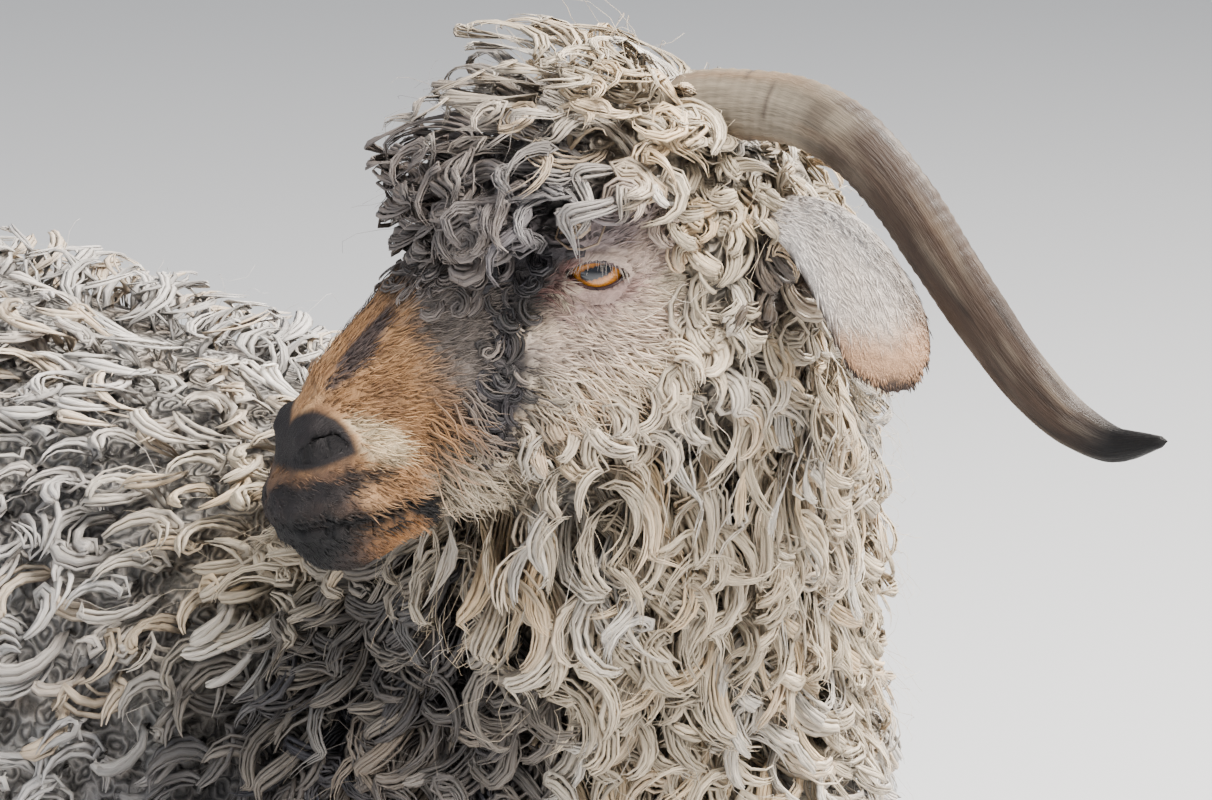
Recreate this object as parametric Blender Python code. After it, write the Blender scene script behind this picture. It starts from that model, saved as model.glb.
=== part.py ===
"""An angora goat, life size, standing with its head turned back over its right side.

The body is one smooth field: a lofted trunk and head, and tapered cones for neck and legs.
A net of faces is laid on that field, curled fleece clumps are joined to it, and thin cuts part it
into torso, neck, head, legs and tail. Eyes, horns, ears and hooves are pieces of their own.
+X is the front of the trunk, +Y the goat's left and +Z up; the head has axes of its own.
"""

import math

import bmesh
import bpy
import numpy as np
from mathutils import Matrix, Vector

for thing in list(bpy.data.objects):
    bpy.data.objects.remove(thing)

GAP = 0.0003
SEED = 7
BIG = 3.0
MERGE = 3e-6
SLOPE_STEP = 2e-4

# How far the coat's tips stand off the skin; shank and tail as shares of the fleece
FLEECE = 0.034
CHEEK = 0.015
THROAT_COAT = 0.046
TOPKNOT = 0.044
SHANK_COAT = 0.12
TAIL_COAT = 0.55

# Where each of them fades in, in the head's frame: from the first value, with none, to the second
FACE_EDGE, JAW_REACH = -0.020, 0.085
CHIN_REACH, CHIN_HEIGHTS = 0.055, (-0.072, -0.084)
FACE_FADE = (0.004, -0.020)
JAW_HEIGHTS = (-0.022, -0.060)
THROAT_HEIGHTS = (-0.050, -0.120)
CROWN_BACK, CROWN_FRONT, CROWN_HEIGHTS = (-0.088, -0.045), (0.066, 0.042), (0.020, 0.042)
HEAD_MIDDLE, HEAD_REACH = np.array([0.03, 0, -0.01]), (0.19, 0.13)

# The same on the body, in the goat's frame
TAIL_FADE, TAIL_HEIGHTS = (-0.37, -0.42), (0.55, 0.60)
SHANK_HEIGHTS = (0.13, 0.27)
HOOF_EDGE = (0.038, 0.062)

# Trunk core, at each x: top, widest level, bottom, half width
TRUNK_X = np.array([-0.395, -0.37, -0.30, -0.17, -0.03, 0.09, 0.19, 0.27, 0.325, 0.345])
TRUNK_FORM = np.array([
    (0.530, 0.500, 0.470, 0.035),
    (0.575, 0.495, 0.400, 0.080),
    (0.612, 0.485, 0.330, 0.120),
    (0.622, 0.455, 0.275, 0.152),
    (0.610, 0.440, 0.262, 0.162),
    (0.594, 0.430, 0.268, 0.152),
    (0.588, 0.430, 0.285, 0.128),
    (0.560, 0.430, 0.315, 0.100),
    (0.505, 0.430, 0.360, 0.062),
    (0.465, 0.427, 0.390, 0.032),
])
TRUNK_POWER = 2.15

# How softly forms run into one another
TRUNK_BLEND, BODY_BLEND, NECK_BLEND, LEG_BLEND, TAIL_BLEND = 0.012, 0.010, 0.014, 0.004, 0.006
NECK_CHAIN_BLEND, FACE_BLEND, LIP_BLEND, LID_BLEND = 0.010, 0.0035, 0.002, 0.0022

# Neck core: points and radii, along the crest and along the throat
CREST = [(0.190, 0, 0.480, 0.105), (0.250, -0.004, 0.560, 0.078), (0.292, -0.028, 0.645, 0.060),
         (0.330, -0.062, 0.705, 0.048), (0.338, -0.078, 0.728, 0.044)]
THROAT = [(0.268, -0.008, 0.480, 0.068), (0.276, -0.052, 0.580, 0.062), (0.303, -0.092, 0.655, 0.044)]

# Legs: centre and reach of shoulder and thigh, then joints with radii, for y > 0
SHOULDER = ((0.200, 0.092, 0.430), (0.080, 0.046, 0.120))
THIGH = ((-0.275, 0.092, 0.440), (0.092, 0.052, 0.135))
FORELEG = [(0.185, 0.088, 0.365, 0.056), (0.200, 0.082, 0.212, 0.035), (0.196, 0.080, 0.185, 0.027),
           (0.190, 0.080, 0.095, 0.024), (0.194, 0.080, 0.082, 0.026), (0.208, 0.080, 0.048, 0.023),
           (0.212, 0.080, 0.030, 0.023)]
HINDLEG = [(-0.240, 0.096, 0.380, 0.064), (-0.325, 0.088, 0.250, 0.034), (-0.338, 0.086, 0.228, 0.030),
           (-0.325, 0.086, 0.105, 0.024), (-0.320, 0.086, 0.086, 0.027), (-0.305, 0.086, 0.048, 0.024),
           (-0.301, 0.086, 0.030, 0.024)]
# Dewclaw, from its root beside the fetlock to its tip
DEWCLAW = [(-0.014, 0.012, -0.004, 0.0075), (-0.026, 0.014, -0.020, 0.0045)]
# How far each foot stands ahead of its even place
STRIDE = {"front_left": 0.022, "front_right": -0.016, "hind_left": -0.024, "hind_right": 0.018}

# Tail, from croup to tip
TAIL = [(-0.365, 0, 0.560, 0.026), (-0.398, 0, 0.602, 0.020), (-0.425, 0, 0.640, 0.015),
        (-0.446, 0, 0.672, 0.010)]

# The head's frame: origin between the eyes, x to the nose along the mouth, y to its left, z up
HEAD_AT = np.array([0.326, -0.122, 0.720])
HEAD_TURN = math.radians(-122)
HEAD_DIP = math.radians(20)

# Head skin, at each x of its frame: top, widest level, bottom, half width
HEAD_X = np.array([-0.095, -0.085, -0.062, -0.035, -0.008, 0.020, 0.048, 0.074, 0.096, 0.114, 0.130,
                   0.142, 0.150])
HEAD_FORM = np.array([
    (0.012, -0.005, -0.020, 0.020),
    (0.028, -0.005, -0.042, 0.036),
    (0.044, -0.002, -0.066, 0.047),
    (0.053, 0.000, -0.078, 0.049),
    (0.054, 0.000, -0.079, 0.048),
    (0.046, -0.008, -0.076, 0.042),
    (0.033, -0.018, -0.072, 0.036),
    (0.021, -0.026, -0.070, 0.031),
    (0.011, -0.030, -0.071, 0.028),
    (0.000, -0.032, -0.074, 0.026),
    (-0.009, -0.034, -0.074, 0.023),
    (-0.024, -0.039, -0.066, 0.018),
    (-0.032, -0.043, -0.055, 0.010),
])
HEAD_POWER = 2.2

# Rounded forms on its left side, each a middle and a reach: eye socket, jaw, nostril wing and chin
HEAD_EGGS = [
    ((-0.006, 0.036, 0.010), (0.030, 0.0165, 0.024)),
    ((-0.036, 0.030, -0.036), (0.040, 0.018, 0.038)),
    ((0.125, 0.0135, -0.021), (0.0115, 0.0105, 0.0105)),
    ((0.128, 0, -0.066), (0.016, 0.015, 0.009)),
]
# Long forms, each points with radii: cheek bone, bridge of the nose, upper and lower lip
HEAD_CHAINS = [
    [(-0.055, 0.040, -0.004, 0.008), (0.030, 0.034, -0.008, 0.007)],
    [(0.010, 0.020, 0.036, 0.012), (0.110, 0.007, -0.004, 0.008)],
    [(0.145, 0.004, -0.042, 0.0075), (0.128, 0.018, -0.045, 0.0075), (0.100, 0.025, -0.046, 0.006)],
    [(0.141, 0.004, -0.059, 0.0060), (0.126, 0.015, -0.060, 0.0065), (0.100, 0.023, -0.060, 0.005)],
]

# Eye: place, radius and the way it looks; the lids' opening is a lens between two arcs
EYE_AT = np.array([0.000, 0.0400, 0.010])
EYE_R = 0.0138
EYE_LOOK = np.array([0.36, 0.93, 0.04])
LID = 0.0022
OPENING_HALF_LENGTH = 0.0125
OPENING_HALF_HEIGHT = 0.0070
OPENING_TILT = math.radians(-14)

# Mouth line from the front to its corner, on the left side, and its depth
MOUTH = [(0.156, 0.000, -0.0485), (0.148, 0.014, -0.0505), (0.130, 0.025, -0.0525),
         (0.110, 0.030, -0.0530), (0.092, 0.034, -0.0535)]
MOUTH_DEPTH = 0.006
MOUTH_HALF_HEIGHT = 0.0011
MOUTH_CLEAR = 0.006
MOUTH_MIDDLE = np.array([0.09, 0, -0.05])

# Nostril, left side: points on the surface and the slit's half length across at each
NOSTRIL = [(0.137, 0.017, -0.0205, 0.0026), (0.130, 0.024, -0.0185, 0.0046), (0.121, 0.0255, -0.0200, 0.0030)]
NOSTRIL_SLIM = 0.55

# Horn: points with the two half widths of its oval, left side
HORN = [(-0.030, 0.018, 0.036, 0.0170, 0.0120), (-0.062, 0.026, 0.050, 0.0160, 0.0115),
        (-0.084, 0.045, 0.046, 0.0152, 0.0110), (-0.097, 0.065, 0.040, 0.0146, 0.0106),
        (-0.107, 0.085, 0.025, 0.0140, 0.0102), (-0.113, 0.100, 0.003, 0.0134, 0.0100),
        (-0.117, 0.112, -0.024, 0.0128, 0.0096), (-0.122, 0.122, -0.051, 0.0122, 0.0092),
        (-0.128, 0.132, -0.077, 0.0112, 0.0084), (-0.137, 0.144, -0.098, 0.0098, 0.0074),
        (-0.147, 0.162, -0.107, 0.0074, 0.0056), (-0.157, 0.182, -0.105, 0.0024, 0.0020)]

HORN_POINT = 0.004
# How the right horn leans away from a mirror image of the left, most at this share of its length
HORN_LEAN = np.array([0.016, -0.010, -0.024])
HORN_ROOT = 0.18

# Ear: points down its middle with its half width there and how much it is rolled, left side
EAR = [(-0.074, 0.036, 0.004, 0.0125, 1.3), (-0.080, 0.052, 0.006, 0.0165, 1.25),
       (-0.086, 0.070, 0.000, 0.0200, 1.1), (-0.088, 0.088, -0.015, 0.0215, 0.9),
       (-0.087, 0.103, -0.033, 0.0212, 0.7), (-0.083, 0.114, -0.050, 0.0180, 0.5),
       (-0.079, 0.121, -0.062, 0.0090, 0.3)]
# It is this thick, thinner where it is narrow and at its edge, and lies along this way
EAR_THICK = 0.0036
EAR_THIN_BELOW = 0.014
EAR_EDGE = 0.55
EAR_WIDE = np.array([1, 0, 0.1])

# Hoof claws: the height of the hair line, the cleft, and a claw's sizes at the sole
CORONET = 0.042
CLAW_SPLIT = 0.0016
CLAW_WIDTH = 0.0235
CLAW_LENGTH = 0.060
CLAW_LEAD = 0.012
CLAW_BACK = 0.002
# A claw's outer and inner share of its width, how its toe narrows, and how it tapers up to the hair line
CLAW_OUTER, CLAW_INNER = 0.72, 0.28
CLAW_TOE = 0.25
CLAW_SHORTER, CLAW_SLIMMER = 0.30, 0.10

# Fleece clumps: the core's share of the coat, spacings, and for each ring its way along, breadth, height
CORE_PART = 0.42
TRUNK_SPACING, NECK_SPACING, HEAD_SPACING, TAIL_SPACING = 0.074, 0.054, 0.0335, 0.046
NECK_FADE = (0, 0.05)
TAIL_ROOT_X, TAIL_ROOT_Z = (-0.36, -0.40), (0.54, 0.58)
HEAD_FADE = (0.19, 0.15)
CLUMP_MIN_DEPTH = 0.009
CLUMP_WIDTH, CLUMP_BEND, CLUMP_SWIRL = 0.62, 0.42, 1.1
CLUMP_RINGS = [(0.0, 1.0, -0.1), (0.4, 0.92, 0.50), (0.8, 0.52, 0.90)]
LOCK_SLIM, LOCK_BEND = 0.15, 1.0
CLUMP_SIDES = 5
CLUMP_ROOT = 0.006
CLUMP_PLUMP = 0.04
CLUMP_MARGIN = 0.35
CLUMP_REACH = 1.3
THIN_SHARE = 0.68
SHARP_ANGLE = 75

# How finely the pieces are divided
TORSO_CELL, TORSO_FACES = 0.014, 700
LEG_CELL, LEGS_FACES = 0.0085, 1500
HEAD_CELL, HEAD_FACES = 0.0062, 2700
HEAD_ROOTS_CELL = 0.009
OVERLAP = 0.010
TRUNK_HIGH = 0.76
HORN_RINGS, HORN_SIDES = 18, 10
EAR_RINGS, EAR_SPREAD = 9, 6
EYE_RINGS, EYE_SIDES = 7, 12
OPENING_POINTS = 6
MOUTH_POINTS = 6
NOSTRIL_RINGS, NOSTRIL_SIDES = 5, 8
CLAW_RINGS, CLAW_SIDES = 3, 12


def unit(v):
    v = np.asarray(v, float)
    return v / np.linalg.norm(v, axis=-1, keepdims=True)


def head_axes():
    """Columns are the head's forward, left and up."""
    flat = math.cos(HEAD_DIP)
    forward = np.array([math.cos(HEAD_TURN) * flat, math.sin(HEAD_TURN) * flat, -math.sin(HEAD_DIP)])
    left = np.array([-math.sin(HEAD_TURN), math.cos(HEAD_TURN), 0])
    return np.column_stack([forward, left, np.cross(forward, left)])


AXES = head_axes()


def to_head(p):
    return (p - HEAD_AT) @ AXES


def from_head(q):
    return HEAD_AT + np.asarray(q, float) @ AXES.T


def eased(x, knots, values):
    """Values at x on a smooth curve through the knots that never overshoots them."""
    step = np.diff(knots)[:, None]
    slope = np.diff(values, axis=0) / step
    product = slope[:-1] * slope[1:]
    total = slope[:-1] + slope[1:]
    inner = np.where(product > 0, 2 * product / np.where(total == 0, 1, total), 0)
    tangent = np.vstack([slope[:1], inner, slope[-1:]])
    i = np.clip(np.searchsorted(knots, x, side="right") - 1, 0, len(knots) - 2)
    width = step[i]
    t = np.clip((x - knots[i])[:, None] / width, 0, 1)
    return ((1 + 2 * t) * (1 - t) ** 2 * values[i] + t * (1 - t) ** 2 * width * tangent[i]
            + t * t * (3 - 2 * t) * values[i + 1] - t * t * (1 - t) * width * tangent[i + 1])


def smoothstep(low, high, x):
    t = np.clip((x - low) / (high - low), 0, 1)
    return t * t * (3 - 2 * t)


def blend(fields, soft):
    """Smooth union of distances; soft is about how wide the fillets are."""
    stack = np.array(fields)
    least = stack.min(axis=0)
    return least - soft * np.log(np.exp((least - stack) / soft).sum(axis=0))


def cone(p, a, b, r_a, r_b):
    a, b = np.asarray(a, float), np.asarray(b, float)
    axis = b - a
    t = np.clip((p - a) @ axis / (axis @ axis), 0, 1)
    return np.linalg.norm(p - a - t[:, None] * axis, axis=1) - (r_a + t * (r_b - r_a))


def chain(p, points, soft):
    """Tapered cones one after another; a point is x, y, z, radius."""
    return blend([cone(p, a[:3], b[:3], a[3], b[3]) for a, b in zip(points, points[1:])], soft)


def egg(p, centre, reach):
    q = (p - np.asarray(centre)) / np.asarray(reach)
    k = np.linalg.norm(q, axis=1)
    slope = np.linalg.norm(q / np.asarray(reach), axis=1)
    return k * (k - 1) / np.maximum(slope, 1e-9)


def loft(p, knots, form, power):
    """Distance, near the surface, to a tube along x whose egg-shaped sections the form gives."""
    top, widest, bottom, half = eased(np.clip(p[:, 0], knots[0], knots[-1]), knots, form).T
    z = p[:, 2] - widest
    height = np.where(z > 0, top - widest, widest - bottom)
    y_part, z_part = np.abs(p[:, 1]) / half, np.abs(z) / height
    k = np.maximum((y_part ** power + z_part ** power) ** (1 / power), 1e-6)
    slope = k ** (1 - power) * np.hypot(y_part ** (power - 1) / half, z_part ** (power - 1) / height)
    across = (k - 1) / np.maximum(slope, 1)
    past = np.maximum(knots[0] - p[:, 0], p[:, 0] - knots[-1])
    return np.where(past > 0, np.hypot(np.maximum(across, 0), np.maximum(past, 0)), np.maximum(across, past))


def mirrored(points, side):
    """The same points for the left, side 1, or the right, side -1."""
    return [(point[0], side * point[1], *point[2:]) for point in points]


def leg_points(leg):
    """A leg's joints; its stride grows from nothing at the top to all of it at the hoof."""
    points = mirrored(FORELEG if "front" in leg else HINDLEG, 1 if "left" in leg else -1)
    top = points[0][2]
    return [(x + STRIDE[leg] * min(1, (top - z) / (top - CORONET)), y, z, r) for x, y, z, r in points]


def head_field(p):
    q = to_head(p)
    q[:, 1] = np.abs(q[:, 1])
    forms = [loft(q, HEAD_X, HEAD_FORM, HEAD_POWER)]
    forms += [egg(q, *form) for form in HEAD_EGGS]
    forms += [chain(q, points, LIP_BLEND) for points in HEAD_CHAINS]
    lids = np.linalg.norm(q - EYE_AT, axis=1) - (EYE_R + LID)
    return blend([blend(forms, FACE_BLEND), lids], LID_BLEND)


def neck_field(p):
    return blend([chain(p, CREST, NECK_CHAIN_BLEND), chain(p, THROAT, NECK_CHAIN_BLEND)], NECK_BLEND)


def legs_field(p):
    parts = []
    for leg in STRIDE:
        joints = leg_points(leg)
        parts.append(chain(p, joints, LEG_BLEND))
        fetlock = np.array(joints[-3][:3] + (0,))
        for side in (-1, 1):
            parts.append(chain(p, fetlock + mirrored(DEWCLAW, side), LEG_BLEND))
    return np.min(parts, axis=0)


def body_field(p):
    """The dense core of the whole goat, without horns, ears, eyes and hooves."""
    q = p.copy()
    q[:, 1] = np.abs(q[:, 1])
    trunk = blend([
        loft(p, TRUNK_X, TRUNK_FORM, TRUNK_POWER),
        egg(q, *SHOULDER),
        egg(q, *THIGH),
    ], TRUNK_BLEND)
    tail = chain(p, TAIL, TAIL_BLEND)
    return blend([trunk, neck_field(p), head_field(p), legs_field(p), tail], BODY_BLEND)


def coat_depth(p):
    """How far the tips of the coat stand off the skin: bare face and feet, tall topknot, long throat."""
    q = to_head(p)
    x, z = q[:, 0], q[:, 2]
    edge = FACE_EDGE + JAW_REACH * smoothstep(*JAW_HEIGHTS, z) + CHIN_REACH * smoothstep(*CHIN_HEIGHTS, z)
    behind = smoothstep(*FACE_FADE, x - edge)
    cheek = behind * (CHEEK + (THROAT_COAT - CHEEK) * smoothstep(*THROAT_HEIGHTS, z))
    crown = TOPKNOT * smoothstep(*CROWN_BACK, x) * smoothstep(*CROWN_FRONT, x) * smoothstep(*CROWN_HEIGHTS, z)
    near_head = smoothstep(*HEAD_REACH, np.linalg.norm(q - HEAD_MIDDLE, axis=1))
    near_tail = smoothstep(*TAIL_FADE, p[:, 0]) * smoothstep(*TAIL_HEIGHTS, p[:, 2])
    shank = SHANK_COAT + (1 - SHANK_COAT) * smoothstep(*SHANK_HEIGHTS, p[:, 2])
    body = FLEECE * shank * smoothstep(*HOOF_EDGE, p[:, 2]) * (1 - (1 - TAIL_COAT) * near_tail)
    return near_head * np.maximum(crown, cheek) + (1 - near_head) * body


def solve(field, points, rounds):
    """Slides points along the field's slope until they lie on its surface."""
    steps = np.eye(3) * SLOPE_STEP
    for _ in range(rounds):
        value = field(points)
        slope = np.stack([field(points + e) - field(points - e) for e in steps], axis=1) / (2 * SLOPE_STEP)
        size = np.maximum((slope ** 2).sum(axis=1), 0.05)
        points = points - np.clip(value / size, -0.01, 0.01)[:, None] * slope
    return points


def filled(inside):
    """Adds grid points until no square of four has just two opposite ones, so the net never pinches."""
    while True:
        before = inside.sum()
        for axis in range(3):
            a = np.moveaxis(inside, axis, 0)
            p, q, r, t = a[:, :-1, :-1], a[:, 1:, :-1], a[:, :-1, 1:], a[:, 1:, 1:]
            one, other = p & t & ~q & ~r, q & r & ~p & ~t
            q |= one
            p |= other
        if inside.sum() == before:
            return inside


def net(field, low, high, cell):
    """Quads on the surface where the field is 0, one point for each cell that it crosses."""
    counts = np.ceil((np.asarray(high) - low) / cell).astype(int) + 1
    axes = [start + cell * np.arange(n) for start, n in zip(low, counts)]
    grid = np.stack(np.meshgrid(*axes, indexing="ij"), axis=-1)
    inside = filled((field(grid.reshape(-1, 3)) < 0).reshape(counts))
    index = -np.ones(counts, int)
    corners = [inside[tuple(slice(o, n - 1 + o) for o, n in zip(offset, counts))]
               for offset in np.ndindex(2, 2, 2)]
    count = np.sum(corners, axis=0)
    crossed = np.argwhere((count > 0) & (count < 8))
    index[tuple(crossed.T)] = np.arange(len(crossed))
    points = np.asarray(low) + cell * (crossed + 0.5)
    quads = []
    for axis in range(3):
        b, c = (axis + 1) % 3, (axis + 2) % 3
        ahead = np.take(inside, range(1, counts[axis]), axis)
        behind = np.take(inside, range(counts[axis] - 1), axis)
        for solid, turn in ((behind & ~ahead, 1), (ahead & ~behind, -1)):
            at = np.argwhere(solid)
            ring = [(0, 0), (-1, 0), (-1, -1), (0, -1)][::turn]
            found = []
            for step_b, step_c in ring:
                cells = at.copy()
                cells[:, b] += step_b
                cells[:, c] += step_c
                found.append(index[tuple(cells.T)])
            quads.append(np.stack(found, axis=1))
    return points, np.vstack(quads)


def evened(field, points, quads, rounds):
    """Points pulled towards the mean of their neighbours and back to the surface."""
    ends = np.vstack([quads[:, [i, (i + 1) % 4]] for i in range(4)])
    for _ in range(rounds):
        total = np.zeros_like(points)
        number = np.zeros(len(points))
        for a, b in (ends.T, ends.T[::-1]):
            np.add.at(total, a, points[b])
            np.add.at(number, a, 1)
        points = solve(field, 0.4 * points + 0.6 * total / number[:, None], 1)
    return solve(field, points, 2)


def make_object(name, points, faces):
    mesh = bpy.data.meshes.new(name)
    corners = [tuple(int(i) for i in face) for face in faces]
    mesh.from_pydata([tuple(point) for point in np.asarray(points, float)], [], corners)
    mesh.validate()
    made = bpy.data.objects.new(name, mesh)
    bpy.context.scene.collection.objects.link(made)
    return made


def bake(made):
    """Applies an object's modifiers."""
    evaluated = made.evaluated_get(bpy.context.evaluated_depsgraph_get())
    mesh = bpy.data.meshes.new_from_object(evaluated)
    made.modifiers.clear()
    old = made.data
    made.data = mesh
    bpy.data.meshes.remove(old)
    return made


def volume(group):
    faces = {f for v in group for f in v.link_faces}
    return sum(f.verts[0].co.dot(f.verts[1].co.cross(f.verts[2].co)) for f in faces)


def keep_largest(made):
    """Leaves only the closed surface that holds the most."""
    form = bmesh.new()
    form.from_mesh(made.data)
    bmesh.ops.triangulate(form, faces=form.faces)
    bmesh.ops.remove_doubles(form, verts=form.verts, dist=MERGE)
    left, groups = set(form.verts), []
    while left:
        group, edge = set(), [left.pop()]
        while edge:
            vert = edge.pop()
            group.add(vert)
            for link in vert.link_edges:
                other = link.other_vert(vert)
                if other in left:
                    left.discard(other)
                    edge.append(other)
        groups.append(group)
    groups.sort(key=volume)
    bmesh.ops.delete(form, geom=[v for group in groups[:-1] for v in group], context="VERTS")
    form.to_mesh(made.data)
    form.free()
    return made


def combine(made, others, operation):
    """One Boolean of an object with a list of closed ones, which are then removed.

    The solver is MANIFOLD, because EXACT takes minutes over a hundred clumps that cross one another.
    """
    group = bpy.data.collections.new("operands")
    bpy.context.scene.collection.children.link(group)
    for other in others:
        bpy.context.scene.collection.objects.unlink(other)
        group.objects.link(other)
    modifier = made.modifiers.new("join", "BOOLEAN")
    modifier.operation = operation
    modifier.operand_type = "COLLECTION"
    modifier.collection = group
    modifier.solver = "MANIFOLD"
    bake(made)
    for other in others:
        bpy.data.objects.remove(other)
    bpy.data.collections.remove(group)
    return made


def thin(made, share):
    """Keeps only this share of the triangles, fewest where the form is flattest."""
    modifier = made.modifiers.new("thin", "DECIMATE")
    modifier.ratio = share
    modifier.use_collapse_triangulate = True
    bake(made)


def skin_net(name, field, low, high, cell, triangles):
    points, quads = net(field, low, high, cell)
    points = solve(field, points, 3)
    points = evened(field, points, quads, 3)
    made = make_object(name, points, quads)
    thin(made, min(1, triangles / (2 * len(quads))))
    return keep_largest(made)


def loft_mesh(name, rings, tip=None, leaf=False):
    """Closed tube through rings of points, all split alike; a leaf's ends join its two faces across."""
    count = len(rings[0])
    points = [p for ring in rings for p in ring]
    faces = []
    for i in range(len(rings) - 1):
        for j in range(count):
            a, b = i * count + j, i * count + (j + 1) % count
            faces += [(a, b, b + count), (a, b + count, a + count)]
    last = len(points) - count
    if leaf:
        for j in range(count // 2 - 1):
            a, b, c, d = j, j + 1, count - 2 - j, count - 1 - j
            faces += [(d, c, b), (d, b, a), (last + a, last + b, last + c), (last + a, last + c, last + d)]
    else:
        middle = len(points)
        points += [np.mean(rings[0], axis=0), np.mean(rings[-1], axis=0) if tip is None else tip]
        for j in range(count):
            k = (j + 1) % count
            faces += [(middle, k, j), (middle + 1, last + j, last + k)]
    return facing_out(make_object(name, points, faces))


def facing_out(made):
    form = bmesh.new()
    form.from_mesh(made.data)
    bmesh.ops.recalc_face_normals(form, faces=form.faces)
    if form.calc_volume(signed=True) < 0:
        bmesh.ops.reverse_faces(form, faces=form.faces)
    form.to_mesh(made.data)
    form.free()
    return made


def half_space_box(name, planes):
    """A big box cut by planes, each a point and the normal that points out of what is kept."""
    form = bmesh.new()
    bmesh.ops.create_cube(form, size=2 * BIG)
    for point, normal in planes:
        cut = bmesh.ops.bisect_plane(form, geom=form.verts[:] + form.edges[:] + form.faces[:], dist=1e-7,
                                     plane_co=Vector(point), plane_no=Vector(normal), clear_outer=True)
        edges = [e for e in cut["geom_cut"] if isinstance(e, bmesh.types.BMEdge)]
        bmesh.ops.contextual_create(form, geom=edges)
    bmesh.ops.recalc_face_normals(form, faces=form.faces)
    mesh = bpy.data.meshes.new(name)
    form.to_mesh(mesh)
    form.free()
    made = bpy.data.objects.new(name, mesh)
    bpy.context.scene.collection.objects.link(made)
    return made


def box_planes(low, high):
    """The planes of a box along the axes, whose infinite sides are left out."""
    planes = []
    for axis in range(3):
        for bound, sign in ((low[axis], -1), (high[axis], 1)):
            if not math.isinf(bound):
                point, normal = np.zeros(3), np.zeros(3)
                point[axis], normal[axis] = bound, sign
                planes.append((point, normal))
    return planes


# Cuts that part the body, each a point and a normal; the neck begins at one, the head lies within two
NECK_CUT = (np.array([0.262, -0.004, 0.540]), unit([0.50, -0.06, 0.86]))
HEAD_CUTS = [(from_head([-0.090, 0, 0.010]), AXES @ unit([-0.827, 0, -0.561])),
             (from_head([0, 0, -0.120]), AXES @ unit([0, 0, -1])),
             (from_head([0, 0.088, 0]), AXES @ unit([0, 1, 0])),
             (from_head([0, -0.088, 0]), AXES @ unit([0, -1, 0]))]
TAIL_BOX = ([-math.inf, -0.050, 0.590], [-0.372, 0.050, math.inf])
LEG_BOXES = {
    "front_left": ([0.09, 0.020, -math.inf], [0.32, math.inf, 0.285]),
    "front_right": ([0.09, -math.inf, -math.inf], [0.32, -0.020, 0.285]),
    "hind_left": ([-math.inf, 0.020, -math.inf], [-0.19, math.inf, 0.315]),
    "hind_right": ([-math.inf, -math.inf, -math.inf], [-0.19, -0.020, 0.315]),
}


def moved(cuts, distance):
    """Planes moved along their normals, so that a region grows or, below zero, shrinks."""
    return [(point + distance * normal, normal) for point, normal in cuts]


def keep_inside(made, cuts):
    return combine(made, [half_space_box("region", moved(cuts, -GAP / 2))], "INTERSECT")


def cut_away(made, regions):
    boxes = [half_space_box("region", moved(cuts, GAP / 2)) for cuts in regions]
    return combine(made, boxes, "DIFFERENCE")


def material(name, colour, roughness):
    made = bpy.data.materials.new(name)
    made.use_nodes = True
    shader = made.node_tree.nodes["Principled BSDF"]
    shader.inputs["Base Color"].default_value = (*colour, 1)
    shader.inputs["Roughness"].default_value = roughness
    shader.inputs["Metallic"].default_value = 0
    return made


def finish_node(made, finish):
    made.data.materials.clear()
    made.data.materials.append(finish)
    made.data.shade_smooth()
    made.data.set_sharp_from_angle(angle=math.radians(SHARP_ANGLE))
    return made


def core_field(p):
    """The dense inner coat, less than half way from the skin to the clumps' tips."""
    return body_field(p) - CORE_PART * coat_depth(p)


def normal_at(field, p):
    rise = [field(p + e) - field(p - e) for e in np.eye(3) * SLOPE_STEP]
    return unit(np.stack(rise, axis=1))


def lie_of(p, normal):
    """The way the coat falls: down and back on the trunk, down the neck, forward and down on the crown."""
    q = to_head(p)
    near_head = smoothstep(0.17, 0.12, np.linalg.norm(q - (0.0, 0, 0.02), axis=1))[:, None]
    crown = near_head * smoothstep(0.0, 0.03, q[:, 2])[:, None]
    lie = np.array([-0.35, 0, -1.0]) * (1 - crown) + (AXES @ [0.9, 0, -0.3]) * crown
    lie = lie + 0.5 * AXES @ [0, 1, 0] * crown * np.sign(q[:, 1:2])
    return unit(lie - (lie * normal).sum(axis=1, keepdims=True) * normal)


def clump_roots(low, high, cell):
    """Seeded points on the core, no two closer than the spacing there, where the coat is deep enough."""
    points, _ = net(core_field, low, high, cell)
    points = solve(core_field, points, 4)
    points = points[np.random.default_rng(SEED).permutation(len(points))]
    points = points[coat_depth(points) > CLUMP_MIN_DEPTH]
    spacing = clump_spacing(points)
    kept = []
    for i in range(len(points)):
        near = np.linalg.norm(points[kept] - points[i], axis=1) if kept else np.array([BIG])
        if near.min() > spacing[i]:
            kept.append(i)
    return points[kept], spacing[kept]


def head_nearness(p):
    return smoothstep(*HEAD_FADE, np.linalg.norm(to_head(p), axis=1))


def clump_spacing(p):
    near_neck = smoothstep(*NECK_FADE, (p - NECK_CUT[0]) @ NECK_CUT[1])
    near_tail = smoothstep(*TAIL_ROOT_X, p[:, 0]) * smoothstep(*TAIL_ROOT_Z, p[:, 2])
    spacing = TRUNK_SPACING + (NECK_SPACING - TRUNK_SPACING) * near_neck
    spacing = spacing + (TAIL_SPACING - spacing) * near_tail
    return spacing + (HEAD_SPACING - spacing) * head_nearness(p)


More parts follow.
